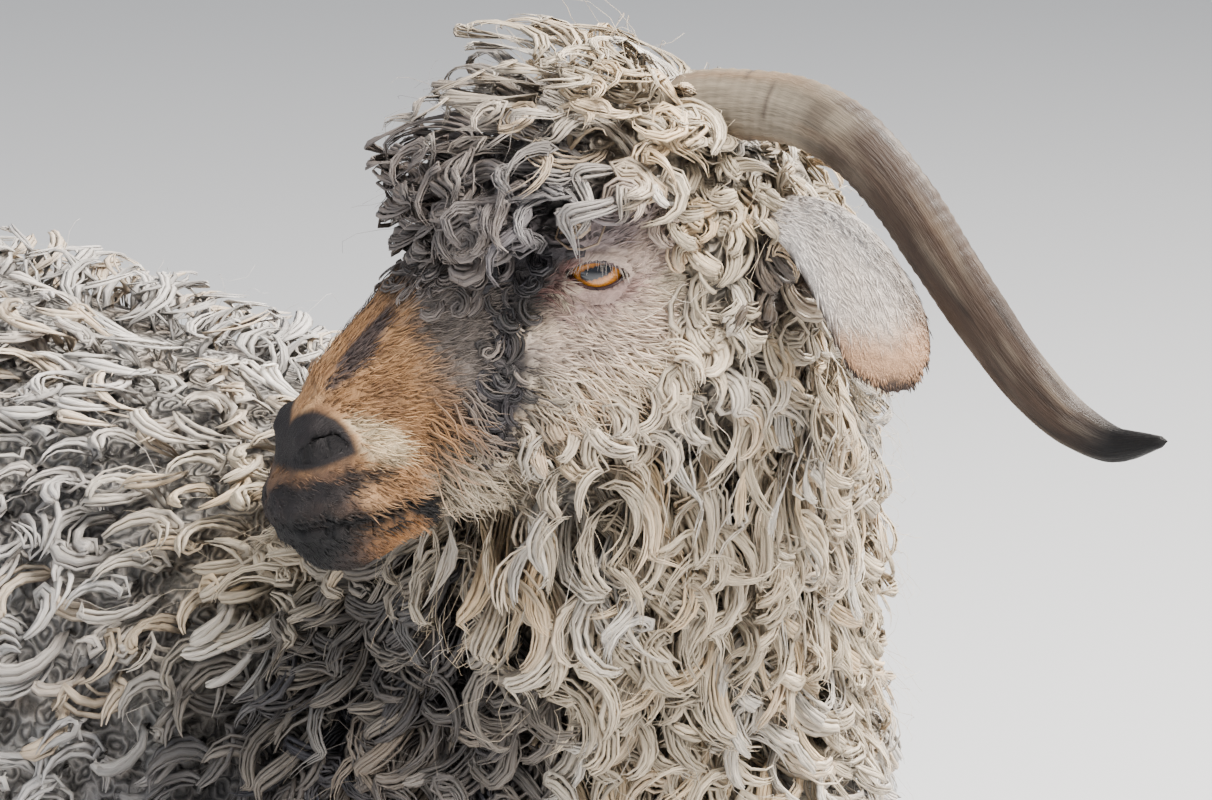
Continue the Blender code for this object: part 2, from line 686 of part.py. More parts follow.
def clump(root, normal, lie, spacing, depth, rng):
    """A rounded curl of fleece: a sunk foot, a full belly, and a tip that bends over along the lie.

    Where the coat is deeper than the clumps are apart it becomes a slimmer lock that bends further.
    """
    lock = min(1, max(0, 2 * depth / spacing - 1))
    turn = rng.uniform(-CLUMP_SWIRL, CLUMP_SWIRL)
    side = np.cross(normal, lie)
    lie = math.cos(turn) * lie + math.sin(turn) * side
    side = np.cross(normal, lie)
    rise = (1 - CORE_PART) * depth * rng.uniform(0.80, 1.0) + CLUMP_PLUMP * spacing
    reach = CLUMP_BEND * spacing * rng.uniform(0.7, 1.2) * (1 + LOCK_BEND * lock)
    wide = CLUMP_WIDTH * spacing * rng.uniform(0.9, 1.15) * (1 - LOCK_SLIM * lock)
    start = rng.uniform(0, 2 * math.pi)
    rings = []
    for t, breadth, height in CLUMP_RINGS:
        middle = root + height * rise * normal + reach * t * t * lie
        angles = start + 2 * math.pi * np.arange(CLUMP_SIDES) / CLUMP_SIDES
        swell = rng.uniform(0.9, 1.1, CLUMP_SIDES)
        rings.append([middle + wide * breadth * w * (math.cos(a) * 1.15 * lie + math.sin(a) * 0.9 * side)
                      for a, w in zip(angles, swell)])
    tip = root + rise * normal + 1.25 * reach * lie
    rings[0] = [q - CLUMP_ROOT * normal for q in rings[0]]
    return loft_mesh("clump", rings, tip)


def add_clumps(made, roots, cuts, beyond=None):
    """Joins the clumps rooted within the cuts, or so near that they run on over one, and thins the faces.

    Clumps well within the cuts called beyond belong to another node and are left out.
    """
    points, spacing = roots
    inside = outside_by(points, cuts) < CLUMP_MARGIN * spacing
    if beyond:
        inside &= outside_by(points, beyond) > -CLUMP_REACH * spacing
    normals = normal_at(core_field, points)
    lies = lie_of(points, normals)
    depths = coat_depth(points)
    clumps = []
    for i in np.flatnonzero(inside):
        rng = np.random.default_rng(SEED * 1000 + i)
        clumps.append(clump(points[i], normals[i], lies[i], spacing[i], depths[i], rng))
    combine(made, clumps, "UNION")
    keep_largest(made)
    thin(made, THIN_SHARE)


def outside_by(p, cuts):
    """How far each point lies beyond the cut that it is furthest beyond; below 0 within them all."""
    return np.max([(p - point) @ normal for point, normal in cuts], axis=0)


def cropped(field, cuts):
    """The field's solid with all that lies beyond the cuts taken off."""
    def inside(p):
        return np.maximum(field(p), outside_by(p, cuts))
    return inside


def smooth_path(points, count):
    """Rows spread evenly along a smooth curve through the given rows."""
    rows = np.array(points, float)
    steps = np.linalg.norm(np.diff(rows[:, :3], axis=0), axis=1)
    length = np.concatenate([[0], np.cumsum(steps)])
    return eased(np.linspace(0, length[-1], count), length, rows)


def rings_along(path, sizes, sides):
    """Oval rings square to a path, with the half widths that each point has."""
    rings = []
    across = unit(np.cross(path[1] - path[0], [0.3, 1, 0.2]))
    for i, (centre, (wide, thick)) in enumerate(zip(path, sizes)):
        along = unit(path[min(i + 1, len(path) - 1)] - path[max(i - 1, 0)])
        across = unit(across - (across @ along) * along)
        third = np.cross(along, across)
        angles = 2 * math.pi * np.arange(sides) / sides
        rings.append([centre + wide * math.cos(a) * across + thick * math.sin(a) * third for a in angles])
    return rings


def stretched(path, grow):
    """The path made longer by grow at both ends."""
    path = path.copy()
    path[0] += grow * unit(path[0] - path[1])
    path[-1] += grow * unit(path[-1] - path[-2])
    return path


def horn(name, side, grow=0.0):
    """A long oval horn; the right one leaves the head a little lower and further out than the left."""
    rows = smooth_path(mirrored(HORN, side), HORN_RINGS)
    if side < 0:
        t = np.linspace(0, 1, HORN_RINGS)[:, None]
        rows[:, :3] += HORN_LEAN * np.minimum(t / HORN_ROOT, 1) * (1 - t)
    path = stretched(from_head(rows[:, :3]), grow)
    tip = path[-1] + (HORN_POINT + grow) * unit(path[-1] - path[-2])
    return loft_mesh(name, rings_along(path, rows[:, 3:] + grow, HORN_SIDES), tip)


def ear(name, side, grow=0.0):
    """A leaf rolled into a cup: each ring runs over its outer face and back along the inner one."""
    rows = smooth_path(mirrored(EAR, side), EAR_RINGS)
    path = stretched(rows[:, :3], 2 * grow)
    rings = []
    for i, (half, roll) in enumerate(rows[:, 3:]):
        along = unit(path[min(i + 1, len(rows) - 1)] - path[max(i - 1, 0)])
        wide = unit(EAR_WIDE - (EAR_WIDE @ along) * along)
        out = side * np.cross(wide, along)
        thick = EAR_THICK / 2 * min(1, half / EAR_THIN_BELOW) + grow
        outer, inner = [], []
        for s in np.linspace(-1, 1, EAR_SPREAD):
            turn = s * roll
            normal = math.sin(turn) * wide + math.cos(turn) * out
            edgeward = math.cos(turn) * wide - math.sin(turn) * out
            middle = path[i] + half / roll * (math.sin(turn) * wide + (math.cos(turn) - 1) * out)
            middle = middle + 2 * grow * s * edgeward
            reach = thick * (1 - EAR_EDGE * abs(s) ** 3)
            outer.append(middle + reach * normal)
            inner.append(middle - reach * normal)
        rings.append([from_head(q) for q in outer + inner[::-1]])
    return loft_mesh(name, rings, leaf=True)


def ball(name, side, radius):
    """An eyeball, with its poles along the way it looks."""
    look = unit(EYE_LOOK * (1, side, 1))
    rise = np.linspace(-0.94, 0.94, EYE_RINGS)
    path = [EYE_AT * (1, side, 1) + radius * math.sin(math.pi / 2 * t) * look for t in rise]
    sizes = [(radius * math.cos(math.pi / 2 * t),) * 2 for t in rise]
    return loft_mesh(name, rings_along(np.array([from_head(q) for q in path]), sizes, EYE_SIDES))


def lid_opening(name, side):
    """A lens between two arcs, pushed through the lids along the eye's look."""
    look = unit(EYE_LOOK * (1, side, 1))
    level = unit(np.cross([0, 0, side], look))
    level = level * (1 if level[0] > 0 else -1)
    rise = np.cross(look, level) * side
    rise = rise * (1 if rise[2] > 0 else -1)
    tilt = OPENING_TILT
    long_way = math.cos(tilt) * level + math.sin(tilt) * rise
    high_way = -math.sin(tilt) * level + math.cos(tilt) * rise
    outline = []
    for sign in (1, -1):
        for t in np.linspace(sign, -sign, OPENING_POINTS)[:-1]:
            outline.append((t * OPENING_HALF_LENGTH, sign * OPENING_HALF_HEIGHT * (1 - t * t)))
    centre = EYE_AT * (1, side, 1)
    rings = []
    for depth, widen in ((0.30 * EYE_R, 0.85), (EYE_R + 0.012, 1.25)):
        middle = centre + depth * look
        rings.append([from_head(middle + widen * (a * long_way + b * high_way)) for a, b in outline])
    return loft_mesh(name, rings)


def mouth_groove(name):
    """A wedge along the lips from corner to corner, open to the outside."""
    left = smooth_path(MOUTH, MOUTH_POINTS)
    left = to_head(solve(head_field, from_head(left), 6))
    left[0, 1] = 0
    path = np.vstack([left[::-1], (left * (1, -1, 1))[1:]])
    rings = []
    for i, point in enumerate(path):
        along = unit(path[min(i + 1, len(path) - 1)] - path[max(i - 1, 0)])
        outward = unit(np.cross(along, [0, 0, 1]))
        outward = outward * (1 if outward @ (point - MOUTH_MIDDLE) > 0 else -1)
        end = min(i, len(path) - 1 - i)
        depth = MOUTH_DEPTH * min(1, 0.35 + 0.3 * end)
        open_half, deep_half = MOUTH_HALF_HEIGHT * 1.6, MOUTH_HALF_HEIGHT * 0.4
        outer, inner = point + MOUTH_CLEAR * outward, point - depth * outward
        up = np.array([0, 0, 1])
        rings.append([from_head(q) for q in (outer + open_half * up, outer - open_half * up,
                                             inner - deep_half * up, inner + deep_half * up)])
    return loft_mesh(name, rings)


def nostril(name, side):
    rows = smooth_path(mirrored(NOSTRIL, side), NOSTRIL_RINGS)
    rows[:, :3] = to_head(solve(head_field, from_head(rows[:, :3]), 6))
    sizes = [(half, NOSTRIL_SLIM * half) for half in rows[:, 3]]
    return loft_mesh(name, rings_along(from_head(rows[:, :3]), sizes, NOSTRIL_SIDES))


def claw(name, leg, side):
    """Half a cloven hoof: a flat sole, an upright inner wall and a toe that leans forward."""
    x, y, _, _ = leg_points(leg)[-1]
    rings = []
    for t in np.linspace(0, 1, CLAW_RINGS):
        length, width = CLAW_LENGTH * (1 - CLAW_SHORTER * t), CLAW_WIDTH * (1 - CLAW_SLIMMER * t)
        middle = x + CLAW_LEAD * (1 - t) + CLAW_BACK
        ring = []
        for angle in 2 * math.pi * np.arange(CLAW_SIDES) / CLAW_SIDES:
            along, across = math.cos(angle), math.sin(angle)
            inward = across < 0
            breadth = width * (CLAW_INNER if inward else CLAW_OUTER)
            toe = 1 - CLAW_TOE * max(along, 0) ** 2 * (0 if inward else 1)
            ring.append(np.array([middle + length / 2 * along,
                                  y + side * (CLAW_SPLIT / 2 + width * CLAW_INNER + breadth * across * toe),
                                  t * (CORONET - GAP)]))
        rings.append(ring)
    return loft_mesh(name, rings)


def leg_region(leg):
    return box_planes(*LEG_BOXES[leg])


def build():
    wool = material("wool", (0.66, 0.63, 0.58), 0.9)
    face = material("face", (0.42, 0.33, 0.26), 0.8)
    horn_finish = material("horn_sheath", (0.22, 0.18, 0.14), 0.5)
    hoof_finish = material("hoof_horn", (0.06, 0.05, 0.045), 0.5)
    eye_finish = material("eye_amber", (0.45, 0.22, 0.05), 0.1)
    ear_finish = material("ear_skin", (0.60, 0.52, 0.45), 0.8)
    neck_region = [(NECK_CUT[0], -NECK_CUT[1])]

    low, high = np.array([-0.54, -0.26, -0.014]), np.array([0.45, 0.26, TRUNK_HIGH])
    trunk = cropped(core_field, moved([NECK_CUT], OVERLAP))
    whole = skin_net("torso", trunk, low, high, TORSO_CELL, TORSO_FACES)
    high[2] = LEG_BOXES["hind_left"][1][2] + OVERLAP + LEG_CELL
    shanks = cropped(core_field, [(high - (0, 0, LEG_CELL), np.array([0, 0, 1.0]))])
    legs = skin_net("legs", shanks, low, high, LEG_CELL, LEGS_FACES)
    nodes = {"torso": whole}
    for leg in LEG_BOXES:
        nodes["leg_" + leg] = copy_of(legs, "leg_" + leg)
    bpy.data.objects.remove(legs)
    nodes["tail"] = copy_of(whole, "tail")
    high[2] = TRUNK_HIGH
    trunk_roots = clump_roots(low, high, TORSO_CELL)
    add_clumps(whole, trunk_roots, [NECK_CUT])
    add_clumps(nodes["tail"], trunk_roots, box_planes(*TAIL_BOX))
    for leg in LEG_BOXES:
        add_clumps(nodes["leg_" + leg], trunk_roots, leg_region(leg))
    cut_away(whole, [neck_region, box_planes(*TAIL_BOX)] + [leg_region(leg) for leg in LEG_BOXES])
    keep_inside(nodes["tail"], box_planes(*TAIL_BOX))
    sole_cut = (np.array([0, 0, CORONET]), np.array([0, 0, -1.0]))
    for leg in LEG_BOXES:
        keep_inside(nodes["leg_" + leg], leg_region(leg) + [sole_cut])

    low, high = np.array([0.04, -0.34, 0.40]), np.array([0.48, 0.22, 0.92])
    front = cropped(core_field, moved(neck_region, OVERLAP))
    head = skin_net("head", front, low, high, HEAD_CELL, HEAD_FACES)
    neck = copy_of(head, "neck")
    front_roots = clump_roots(low, high, HEAD_ROOTS_CELL)
    add_clumps(head, front_roots, HEAD_CUTS + neck_region)
    add_clumps(neck, front_roots, neck_region, HEAD_CUTS)
    keep_inside(head, HEAD_CUTS + neck_region)
    keep_inside(neck, neck_region)
    cut_away(neck, [HEAD_CUTS])
    cutters = [mouth_groove("mouth")]
    for name, side in (("left", 1), ("right", -1)):
        nodes["eye_" + name] = ball("eye_" + name, side, EYE_R)
        nodes["horn_" + name] = horn("horn_" + name, side)
        nodes["ear_" + name] = ear("ear_" + name, side)
        cutters += [ball("socket", side, EYE_R + GAP), lid_opening("lids", side), nostril("nostril", side)]
    combine(head, cutters, "DIFFERENCE")
    for made in (head, neck):
        for side in (1, -1):
            combine(made, [horn("horn_socket", side, GAP)], "DIFFERENCE")
            combine(made, [ear("ear_socket", side, GAP)], "DIFFERENCE")
            combine(made, [ear("ear_core", side)], "DIFFERENCE")
    nodes["head"], nodes["neck"] = head, neck
    for leg in LEG_BOXES:
        for name, side in (("outer", 1), ("inner", -1)):
            part = f"hoof_{leg}_{name}"
            nodes[part] = claw(part, leg, side if "left" in leg else -side)

    finishes = {"head": face, "horn": horn_finish, "hoof": hoof_finish, "eye": eye_finish, "ear": ear_finish}
    for name, made in nodes.items():
        keep_largest(made)
        finish_node(made, finishes.get(name.split("_")[0], wool))
    centre_on_floor(nodes.values())


def copy_of(made, name):
    copy = bpy.data.objects.new(name, made.data.copy())
    bpy.context.scene.collection.objects.link(copy)
    return copy


def centre_on_floor(pieces):
    """Moves every piece alike, so that the whole stands centred over the origin."""
    corners = np.vstack([[v.co[:] for v in piece.data.vertices] for piece in pieces])
    low, high = corners.min(axis=0), corners.max(axis=0)
    shift = Vector((-(low[0] + high[0]) / 2, -(low[1] + high[1]) / 2, -low[2]))
    for piece in pieces:
        piece.data.transform(Matrix.Translation(shift))


build()
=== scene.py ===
"""Looks of the angora goat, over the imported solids: skin, curled fleece, hair, eyes, horns and hooves.

The skin is a net laid on the same smooth field that the solids come from, divided finely at the face.
Locks of the fleece are bundles of thin closed strands that follow the lie of the coat in curls. Colours
come from one function of place, which skin and coat share. Lengths are metres; the head has axes of its own.
"""

import math

import bmesh
import bpy
import numpy as np
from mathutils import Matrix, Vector


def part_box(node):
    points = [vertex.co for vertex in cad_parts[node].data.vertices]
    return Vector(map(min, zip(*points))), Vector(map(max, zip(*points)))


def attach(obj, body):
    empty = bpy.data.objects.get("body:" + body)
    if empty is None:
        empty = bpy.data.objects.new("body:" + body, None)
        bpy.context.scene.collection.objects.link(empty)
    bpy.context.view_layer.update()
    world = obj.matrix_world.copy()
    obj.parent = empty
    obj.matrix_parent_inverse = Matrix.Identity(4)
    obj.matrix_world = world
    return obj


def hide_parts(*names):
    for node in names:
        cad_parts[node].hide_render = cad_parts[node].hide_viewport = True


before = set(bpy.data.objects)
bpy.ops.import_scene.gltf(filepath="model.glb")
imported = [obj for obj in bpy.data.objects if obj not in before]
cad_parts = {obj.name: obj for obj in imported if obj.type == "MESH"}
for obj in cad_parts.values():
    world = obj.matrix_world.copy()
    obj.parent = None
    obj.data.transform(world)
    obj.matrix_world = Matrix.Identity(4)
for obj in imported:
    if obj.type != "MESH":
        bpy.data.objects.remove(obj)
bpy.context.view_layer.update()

SEED = 11
SLOPE_STEP = 2e-4

# How far the coat's tips stand off the skin; shank and tail as shares of the fleece
FLEECE = 0.034
CHEEK = 0.015
THROAT_COAT = 0.046
TOPKNOT = 0.044
SHANK_COAT = 0.12
TAIL_COAT = 0.55

# Where each of them fades in, in the head's frame: from the first value, with none, to the second
FACE_EDGE, JAW_REACH = -0.020, 0.085
CHIN_REACH, CHIN_HEIGHTS = 0.055, (-0.072, -0.084)
FACE_FADE = (0.004, -0.020)
JAW_HEIGHTS = (-0.022, -0.060)
THROAT_HEIGHTS = (-0.050, -0.120)
CROWN_BACK, CROWN_FRONT, CROWN_HEIGHTS = (-0.088, -0.045), (0.066, 0.042), (0.020, 0.042)
HEAD_MIDDLE, HEAD_REACH = np.array([0.03, 0, -0.01]), (0.19, 0.13)

# The same on the body, in the goat's frame
TAIL_FADE, TAIL_HEIGHTS = (-0.37, -0.42), (0.55, 0.60)
SHANK_HEIGHTS = (0.13, 0.27)
HOOF_EDGE = (0.038, 0.062)

# Trunk core, at each x: top, widest level, bottom, half width
TRUNK_X = np.array([-0.395, -0.37, -0.30, -0.17, -0.03, 0.09, 0.19, 0.27, 0.325, 0.345])
TRUNK_FORM = np.array([
    (0.530, 0.500, 0.470, 0.035),
    (0.575, 0.495, 0.400, 0.080),
    (0.612, 0.485, 0.330, 0.120),
    (0.622, 0.455, 0.275, 0.152),
    (0.610, 0.440, 0.262, 0.162),
    (0.594, 0.430, 0.268, 0.152),
    (0.588, 0.430, 0.285, 0.128),
    (0.560, 0.430, 0.315, 0.100),
    (0.505, 0.430, 0.360, 0.062),
    (0.465, 0.427, 0.390, 0.032),
])
TRUNK_POWER = 2.15

# How softly forms run into one another
TRUNK_BLEND, BODY_BLEND, NECK_BLEND, LEG_BLEND, TAIL_BLEND = 0.012, 0.010, 0.014, 0.004, 0.006
NECK_CHAIN_BLEND, FACE_BLEND, LIP_BLEND, LID_BLEND = 0.010, 0.0035, 0.002, 0.0022

# Neck core: points and radii, along the crest and along the throat
CREST = [(0.190, 0, 0.480, 0.105), (0.250, -0.004, 0.560, 0.078), (0.292, -0.028, 0.645, 0.060),
         (0.330, -0.062, 0.705, 0.048), (0.338, -0.078, 0.728, 0.044)]
THROAT = [(0.268, -0.008, 0.480, 0.068), (0.276, -0.052, 0.580, 0.062), (0.303, -0.092, 0.655, 0.044)]

# Legs: centre and reach of shoulder and thigh, then joints with radii, for y > 0
SHOULDER = ((0.200, 0.092, 0.430), (0.080, 0.046, 0.120))
THIGH = ((-0.275, 0.092, 0.440), (0.092, 0.052, 0.135))
FORELEG = [(0.185, 0.088, 0.365, 0.056), (0.200, 0.082, 0.212, 0.035), (0.196, 0.080, 0.185, 0.027),
           (0.190, 0.080, 0.095, 0.024), (0.194, 0.080, 0.082, 0.026), (0.208, 0.080, 0.048, 0.023),
           (0.212, 0.080, 0.030, 0.023)]
HINDLEG = [(-0.240, 0.096, 0.380, 0.064), (-0.325, 0.088, 0.250, 0.034), (-0.338, 0.086, 0.228, 0.030),
           (-0.325, 0.086, 0.105, 0.024), (-0.320, 0.086, 0.086, 0.027), (-0.305, 0.086, 0.048, 0.024),
           (-0.301, 0.086, 0.030, 0.024)]
# Dewclaw, from its root beside the fetlock to its tip
DEWCLAW = [(-0.014, 0.012, -0.004, 0.0075), (-0.026, 0.014, -0.020, 0.0045)]
# How far each foot stands ahead of its even place
STRIDE = {"front_left": 0.022, "front_right": -0.016, "hind_left": -0.024, "hind_right": 0.018}

# Tail, from croup to tip
TAIL = [(-0.365, 0, 0.560, 0.026), (-0.398, 0, 0.602, 0.020), (-0.425, 0, 0.640, 0.015),
        (-0.446, 0, 0.672, 0.010)]

# The head's frame: origin between the eyes, x to the nose along the mouth, y to its left, z up
HEAD_AT = np.array([0.326, -0.122, 0.720])
HEAD_TURN = math.radians(-122)
HEAD_DIP = math.radians(20)

# Head skin, at each x of its frame: top, widest level, bottom, half width
HEAD_X = np.array([-0.095, -0.085, -0.062, -0.035, -0.008, 0.020, 0.048, 0.074, 0.096, 0.114, 0.130,
                   0.142, 0.150])
HEAD_FORM = np.array([
    (0.012, -0.005, -0.020, 0.020),
    (0.028, -0.005, -0.042, 0.036),
    (0.044, -0.002, -0.066, 0.047),
    (0.053, 0.000, -0.078, 0.049),
    (0.054, 0.000, -0.079, 0.048),
    (0.046, -0.008, -0.076, 0.042),
    (0.033, -0.018, -0.072, 0.036),
    (0.021, -0.026, -0.070, 0.031),
    (0.011, -0.030, -0.071, 0.028),
    (0.000, -0.032, -0.074, 0.026),
    (-0.009, -0.034, -0.074, 0.023),
    (-0.024, -0.039, -0.066, 0.018),
    (-0.032, -0.043, -0.055, 0.010),
])
HEAD_POWER = 2.2

# Rounded forms on its left side, each a middle and a reach: eye socket, jaw, nostril wing and chin
HEAD_EGGS = [
    ((-0.006, 0.036, 0.010), (0.030, 0.0165, 0.024)),
    ((-0.036, 0.030, -0.036), (0.040, 0.018, 0.038)),
    ((0.125, 0.0135, -0.021), (0.0115, 0.0105, 0.0105)),
    ((0.128, 0, -0.066), (0.016, 0.015, 0.009)),
]
# Long forms, each points with radii: cheek bone, bridge of the nose, upper and lower lip
HEAD_CHAINS = [
    [(-0.055, 0.040, -0.004, 0.008), (0.030, 0.034, -0.008, 0.007)],
    [(0.010, 0.020, 0.036, 0.012), (0.110, 0.007, -0.004, 0.008)],
    [(0.145, 0.004, -0.042, 0.0075), (0.128, 0.018, -0.045, 0.0075), (0.100, 0.025, -0.046, 0.006)],
    [(0.141, 0.004, -0.059, 0.0060), (0.126, 0.015, -0.060, 0.0065), (0.100, 0.023, -0.060, 0.005)],
]

# Eye: place, radius and the way it looks
EYE_AT = np.array([0.000, 0.0400, 0.010])
EYE_R = 0.0138
EYE_LOOK = np.array([0.36, 0.93, 0.04])
LID = 0.0022

# Horn: points with the two half widths of its oval, left side
HORN = [(-0.030, 0.018, 0.036, 0.0170, 0.0120), (-0.062, 0.026, 0.050, 0.0160, 0.0115),
        (-0.084, 0.045, 0.046, 0.0152, 0.0110), (-0.097, 0.065, 0.040, 0.0146, 0.0106),
        (-0.107, 0.085, 0.025, 0.0140, 0.0102), (-0.113, 0.100, 0.003, 0.0134, 0.0100),
        (-0.117, 0.112, -0.024, 0.0128, 0.0096), (-0.122, 0.122, -0.051, 0.0122, 0.0092),
        (-0.128, 0.132, -0.077, 0.0112, 0.0084), (-0.137, 0.144, -0.098, 0.0098, 0.0074),
        (-0.147, 0.162, -0.107, 0.0074, 0.0056), (-0.157, 0.182, -0.105, 0.0024, 0.0020)]
# How far its point stands past the last of them
HORN_POINT = 0.004
# How the right horn leans away from a mirror image of the left, most at this share of its length
HORN_LEAN = np.array([0.016, -0.010, -0.024])
HORN_ROOT = 0.18

# Ear: points down its middle with its half width there and how much it is rolled, left side
EAR = [(-0.074, 0.036, 0.004, 0.0125, 1.3), (-0.080, 0.052, 0.006, 0.0165, 1.25),
       (-0.086, 0.070, 0.000, 0.0200, 1.1), (-0.088, 0.088, -0.015, 0.0215, 0.9),
       (-0.087, 0.103, -0.033, 0.0212, 0.7), (-0.083, 0.114, -0.050, 0.0180, 0.5),
       (-0.079, 0.121, -0.062, 0.0090, 0.3)]
# It is this thick, less where its half width is below the next value, and lies wide along this way
EAR_THICK = 0.0036
EAR_THIN_BELOW = 0.014
EAR_WIDE = np.array([1, 0, 0.1])

# Hoof claws: the height of the hair line, the cleft, and a claw's sizes at the sole
CORONET = 0.042
CLAW_SPLIT = 0.0016
CLAW_WIDTH = 0.0235
CLAW_LENGTH = 0.060
CLAW_LEAD = 0.012
CLAW_BACK = 0.002
# A claw's outer and inner share of its width, how its toe narrows, and how it tapers up to the hair line
CLAW_OUTER, CLAW_INNER = 0.72, 0.28
CLAW_TOE = 0.25
CLAW_SHORTER, CLAW_SLIMMER = 0.30, 0.10


def unit(v):
    v = np.asarray(v, float)
    return v / np.linalg.norm(v, axis=-1, keepdims=True)


def head_axes():
    """Columns are the head's forward, left and up."""
    flat = math.cos(HEAD_DIP)
    forward = np.array([math.cos(HEAD_TURN) * flat, math.sin(HEAD_TURN) * flat, -math.sin(HEAD_DIP)])
    left = np.array([-math.sin(HEAD_TURN), math.cos(HEAD_TURN), 0])
    return np.column_stack([forward, left, np.cross(forward, left)])


AXES = head_axes()


def to_head(p):
    return (p - HEAD_AT) @ AXES


def from_head(q):
    return HEAD_AT + np.asarray(q, float) @ AXES.T


def eased(x, knots, values):
    """Values at x on a smooth curve through the knots that never overshoots them."""
    step = np.diff(knots)[:, None]
    slope = np.diff(values, axis=0) / step
    product = slope[:-1] * slope[1:]
    total = slope[:-1] + slope[1:]
    inner = np.where(product > 0, 2 * product / np.where(total == 0, 1, total), 0)
    tangent = np.vstack([slope[:1], inner, slope[-1:]])
    i = np.clip(np.searchsorted(knots, x, side="right") - 1, 0, len(knots) - 2)
    width = step[i]
    t = np.clip((x - knots[i])[:, None] / width, 0, 1)
    return ((1 + 2 * t) * (1 - t) ** 2 * values[i] + t * (1 - t) ** 2 * width * tangent[i]
            + t * t * (3 - 2 * t) * values[i + 1] - t * t * (1 - t) * width * tangent[i + 1])


def smoothstep(low, high, x):
    t = np.clip((x - low) / (high - low), 0, 1)
    return t * t * (3 - 2 * t)


def blend(fields, soft):
    """Smooth union of distances; soft is about how wide the fillets are."""
    stack = np.array(fields)
    least = stack.min(axis=0)
    return least - soft * np.log(np.exp((least - stack) / soft).sum(axis=0))


def cone(p, a, b, r_a, r_b):
    a, b = np.asarray(a, float), np.asarray(b, float)
    axis = b - a
    t = np.clip((p - a) @ axis / (axis @ axis), 0, 1)
    return np.linalg.norm(p - a - t[:, None] * axis, axis=1) - (r_a + t * (r_b - r_a))


def chain(p, points, soft):
    """Tapered cones one after another; a point is x, y, z, radius."""
    return blend([cone(p, a[:3], b[:3], a[3], b[3]) for a, b in zip(points, points[1:])], soft)


def egg(p, centre, reach):
    q = (p - np.asarray(centre)) / np.asarray(reach)
    k = np.linalg.norm(q, axis=1)
    slope = np.linalg.norm(q / np.asarray(reach), axis=1)
    return k * (k - 1) / np.maximum(slope, 1e-9)


def loft(p, knots, form, power):
    """Distance, near the surface, to a tube along x whose egg-shaped sections the form gives."""
    top, widest, bottom, half = eased(np.clip(p[:, 0], knots[0], knots[-1]), knots, form).T
    z = p[:, 2] - widest
    height = np.where(z > 0, top - widest, widest - bottom)
    y_part, z_part = np.abs(p[:, 1]) / half, np.abs(z) / height
    k = np.maximum((y_part ** power + z_part ** power) ** (1 / power), 1e-6)
    slope = k ** (1 - power) * np.hypot(y_part ** (power - 1) / half, z_part ** (power - 1) / height)
    across = (k - 1) / np.maximum(slope, 1)
    past = np.maximum(knots[0] - p[:, 0], p[:, 0] - knots[-1])
    return np.where(past > 0, np.hypot(np.maximum(across, 0), np.maximum(past, 0)), np.maximum(across, past))


def mirrored(points, side):
    """The same points for the left, side 1, or the right, side -1."""
    return [(point[0], side * point[1], *point[2:]) for point in points]


def leg_points(leg):
    """A leg's joints; its stride grows from nothing at the top to all of it at the hoof."""
    points = mirrored(FORELEG if "front" in leg else HINDLEG, 1 if "left" in leg else -1)
    top = points[0][2]
    return [(x + STRIDE[leg] * min(1, (top - z) / (top - CORONET)), y, z, r) for x, y, z, r in points]


def on_left(q):
    """The same points, those on the right side mirrored to the left."""
    q = q.copy()
    q[:, 1] = np.abs(q[:, 1])
    return q


def head_field(p):
    q = on_left(to_head(p))
    forms = [loft(q, HEAD_X, HEAD_FORM, HEAD_POWER)]
    forms += [egg(q, *form) for form in HEAD_EGGS]
    forms += [chain(q, points, LIP_BLEND) for points in HEAD_CHAINS]
    lids = np.linalg.norm(q - EYE_AT, axis=1) - (EYE_R + LID)
    return blend([blend(forms, FACE_BLEND), lids], LID_BLEND)


def neck_field(p):
    return blend([chain(p, CREST, NECK_CHAIN_BLEND), chain(p, THROAT, NECK_CHAIN_BLEND)], NECK_BLEND)


def legs_field(p):
    parts = []
    for leg in STRIDE:
        joints = leg_points(leg)
        parts.append(chain(p, joints, LEG_BLEND))
        fetlock = np.array(joints[-3][:3] + (0,))
        for side in (-1, 1):
            parts.append(chain(p, fetlock + mirrored(DEWCLAW, side), LEG_BLEND))
    return np.min(parts, axis=0)


def body_field(p):
    """The dense core of the whole goat, without horns, ears, eyes and hooves."""
    q = on_left(p)
    trunk = blend([
        loft(p, TRUNK_X, TRUNK_FORM, TRUNK_POWER),
        egg(q, *SHOULDER),
        egg(q, *THIGH),
    ], TRUNK_BLEND)
    tail = chain(p, TAIL, TAIL_BLEND)
    return blend([trunk, neck_field(p), head_field(p), legs_field(p), tail], BODY_BLEND)


def coat_depth(p):
    """How far the tips of the coat stand off the skin: bare face and feet, tall topknot, long throat."""
    q = to_head(p)
    x, z = q[:, 0], q[:, 2]
    edge = FACE_EDGE + JAW_REACH * smoothstep(*JAW_HEIGHTS, z) + CHIN_REACH * smoothstep(*CHIN_HEIGHTS, z)
    behind = smoothstep(*FACE_FADE, x - edge)
    cheek = behind * (CHEEK + (THROAT_COAT - CHEEK) * smoothstep(*THROAT_HEIGHTS, z))
    crown = TOPKNOT * smoothstep(*CROWN_BACK, x) * smoothstep(*CROWN_FRONT, x) * smoothstep(*CROWN_HEIGHTS, z)
    near_head = smoothstep(*HEAD_REACH, np.linalg.norm(q - HEAD_MIDDLE, axis=1))
    near_tail = smoothstep(*TAIL_FADE, p[:, 0]) * smoothstep(*TAIL_HEIGHTS, p[:, 2])
    shank = SHANK_COAT + (1 - SHANK_COAT) * smoothstep(*SHANK_HEIGHTS, p[:, 2])
    body = FLEECE * shank * smoothstep(*HOOF_EDGE, p[:, 2]) * (1 - (1 - TAIL_COAT) * near_tail)
    return near_head * np.maximum(crown, cheek) + (1 - near_head) * body


